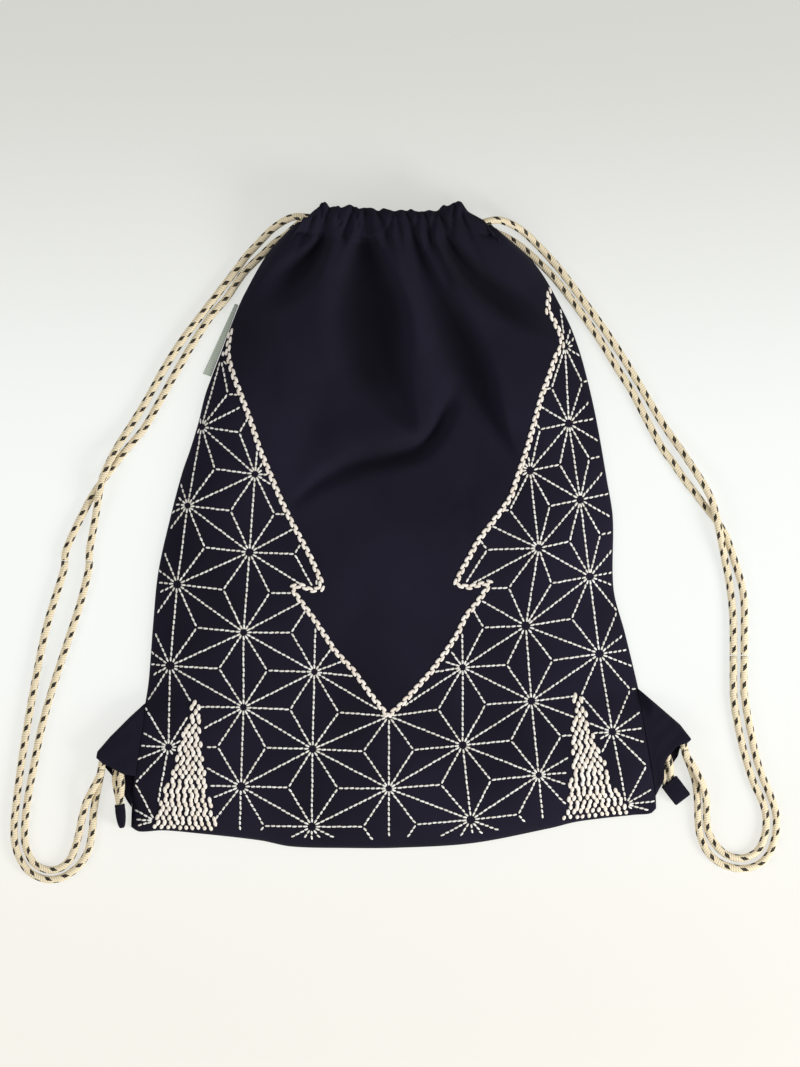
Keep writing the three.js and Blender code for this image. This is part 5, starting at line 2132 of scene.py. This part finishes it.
LEFT_CORD = Drawcord(
    corner=LEFT_CORNER,
    body=Body.LEFT_DRAWCORD,
    run_y=208.5,
    front_upper=(
        (-55.6, 208.5, 24.3), (-58.4, 208.5, 24.3), (-67, 208.9, 22.5), (-74, 206.5, 18.5),
        (-83, 200.5, 12), (-91, 192.6, 7), (-99.5, 183.8, 4), (-107, 173.9, 2.9), (-114, 164.9),
        (-128.8, 145.8), (-144.5, 125), (-156.7, 105.6), (-167.6, 85.8), (-178.4, 68.2, 3.2),
        (-186.5, 55.5, 5.2), (-193.6, 41.9, 7.9), (-197.8, 31.5, 8.4), (-200.4, 19.3, 7.4),
        (-202.4, 7.1, 4.8), (-204.6, -5, 3.1), (-206.3, -14), (-206.9, -19.5), (-206.9, -23.4),
    ),
    back_upper=(
        (-55.6, 208.5, 4.5), (-58.4, 208.4, 4.5), (-66, 203.9, 3.4), (-73, 197.6, 2.9), (-80.4, 192.6),
        (-88, 185.5), (-95.5, 178.3), (-102.4, 171), (-114, 154.2), (-123.6, 143.2), (-136.2, 124.3),
        (-148.4, 103.6), (-159.6, 83.5), (-169.5, 66.5), (-182.7, 50.5), (-190.5, 40.5), (-198.4, 29.7),
        (-204.4, 21), (-210.1, 10.6), (-215.7, -0.6), (-220.4, -11), (-223.2, -18.5), (-223.5, -23.4),
    ),
    front_lower=(
        (-206.9, -23.8), (-207, -28), (-208.9, -37), (-213, -52.7), (-220.9, -77), (-232.4, -112.3),
        (-239.8, -139.5), (-244.6, -163.3), (-248.7, -185.8), (-250.7, -203.5), (-250.2, -217),
        (-244.6, -229), (-235.1, -233.8), (-226.2, -232.4), (-219.4, -225.6), (-214.8, -213, 2.9),
        (-211.9, -199, 3.7), (-208.4, -187, 6), (-203.2, -177, 8.7),
    ),
    back_lower=(
        (-223.5, -23.8), (-223.8, -28), (-226.4, -37.5), (-229.8, -48), (-236.5, -70.9), (-246, -118.5),
        (-252.1, -155.2), (-256.2, -185.8), (-258, -207.5), (-256, -221.5), (-248.3, -234.4),
        (-237.1, -240), (-226.6, -239.4), (-215.6, -232.6), (-208.2, -222), (-205, -208),
        (-203.6, -192, 2.9), (-201.3, -180, 3.4),
    ),
    front_rest=(
        (-185.5, -168.5, 9.4), (-184.8, -174, 9.4), (-185.2, -181, 9.4), (-186, -189, 9.4),
        (-186, -197, 9.4),
    ),
    back_rest=(
        (-187.2, -161.5, 4), (-188.6, -166.5, 4), (-189, -171.5, 4), (-188.5, -177, 4), (-187, -184, 4),
        (-186.1, -190, 4), (-186, -197, 4),
    ),
    slack_end=-23.6,
    tab_from=-220.0,
    tab_to=-198.5,
    back_turn_end=55.0,
)
RIGHT_CORD = Drawcord(
    corner=RIGHT_CORNER,
    body=Body.RIGHT_DRAWCORD,
    run_y=202.3,
    front_upper=(
        (49.6, 202.3, 24.3), (52.6, 202.3, 24.3), (62, 205.4, 22.6), (70, 207, 19), (78.5, 205, 14),
        (88, 199.6, 8.6), (97, 191.5, 4.6), (105.3, 182.8, 2.9), (113.3, 173.6), (128.2, 153.9),
        (142.6, 134.2), (156.2, 113.8), (168, 94.2), (181.2, 72.2), (188, 61.8, 3.2), (195, 51.8, 5.2),
        (202, 41.2, 7.2), (208.6, 31, 8.2), (214.2, 21, 8.4), (218.1, 9.9, 8.4), (220.3, 0, 8.3),
        (222.6, -11, 6.6), (225.2, -24, 4.1), (227.8, -37, 2.9), (229.6, -50.2), (230.6, -63),
        (230.8, -76), (230.8, -87.6),
    ),
    back_upper=(
        (49.6, 202.3, 4.5), (52.6, 202.3, 4.5), (63, 200.6, 3.5), (70, 198.8, 2.9), (77, 195.8),
        (85.2, 190.6), (95.4, 182.1), (104.5, 173.4), (112.6, 164.2), (127.2, 145), (140.6, 125.6),
        (153.8, 104), (160.6, 93.5), (172.2, 71.5), (183, 52), (189.8, 43), (196.5, 33), (205, 22),
        (212.2, 12.5), (219.5, 3.3), (225.2, -6), (229.4, -16.8), (233, -28.2), (236.4, -39.7),
        (238.2, -52), (238.4, -66), (238.3, -80), (238.3, -87.6),
    ),
    front_lower=(
        (230.8, -88.4), (230.8, -93), (230.8, -104), (231, -115.1), (232.4, -127.3), (236.2, -146.3),
        (240.2, -161.3), (245, -175.6), (250.2, -186.5), (253, -197.3), (252, -211), (247.2, -220.8),
        (238.2, -225.6), (228, -224.4), (219.6, -217.8), (213.6, -207, 2.9), (212.6, -196, 3.3),
        (212.2, -186, 4.7), (209.2, -175, 7.5), (204, -164.5, 9.1),
    ),
    back_lower=(
        (238.3, -88.4), (238.3, -93), (238, -104), (238.2, -113), (239.8, -125), (243, -141.6),
        (246.6, -158.5), (251.2, -172), (256.4, -184.5), (259.8, -196), (259.2, -211.4), (254.6, -223.6),
        (246.4, -230.8), (235.8, -233), (224, -230.2), (214, -222.5), (208.2, -210), (206.8, -198),
        (206.4, -186, 2.9), (205, -174, 3.1), (201.6, -163.5, 3.7),
    ),
    front_rest=(
        (186.1, -157.5, 9.3), (187.6, -162.5, 7.8), (188, -167, 5.4), (188.2, -170.7, 4),
        (189.7, -172.7, 3.8), (193.6, -177.8, 3.8),
    ),
    back_rest=(
        (184, -158.9, 4.1), (182.6, -165.5, 4.1), (182.8, -170.6, 3.9), (184, -173.9, 3.8),
        (185.5, -175.9, 3.8), (189.4, -181, 3.8),
    ),
    slack_end=-88.0,
    tab_from=218.0,
    tab_to=197.6,
)
LEFT_COVER = EndCover(
    side=Side.LEFT,
    body=Body.LEFT_TAB,
    mouth=(-186.0, -189.0, 6.9),
    along=(0.1, -0.995, 0.0),
    across=(0.0, 0.0, 1.0),
)
RIGHT_COVER = EndCover(
    side=Side.RIGHT,
    body=Body.RIGHT_TAB,
    mouth=(187.0, -173.5, 3.8),
    along=(0.607, -0.795, 0.0),
    across=(0.795, 0.607, 0.0),
)


def main() -> None:
    """Build every piece in order."""
    logging.basicConfig(level=logging.INFO, format="%(name)s: %(message)s")
    shape = BagShape()
    layout = Embroidery()
    cotton = IndigoCotton().material()
    white = CottonThread("white_cotton_running_thread", "#f7f6f0", "#e2ded2").material()
    cream = CottonThread("cream_cotton_rope_thread", "#fbf4ea", "#ece1d2").material()
    braid = FleckedBraid().material()
    bag = BagCloth(shape, layout)
    hem = CasingHem(shape)
    front_hem = hem.build("front_casing_cloth", True, cotton)
    back_hem = hem.build("back_casing_cloth", False, cotton)
    back = bag.back(cotton)
    front = bag.front(cotton)
    place(front_hem, Body.BAG, Slot.CLOTH, "front_casing")
    place(back_hem, Body.BAG, Slot.CLOTH, "back_casing")
    ThreadWork(layout).build(shape, white, cream)
    for corner in (LEFT_CORNER, RIGHT_CORNER):
        corner.build(shape, cotton)
    for drawcord in (LEFT_CORD, RIGHT_CORD):
        drawcord.build(braid)
    for cover in (LEFT_COVER, RIGHT_COVER):
        cover.build(cotton)
    SideLabel().build(WovenTape().material())
    Studio().build()


if __name__ == "__main__":
    main()
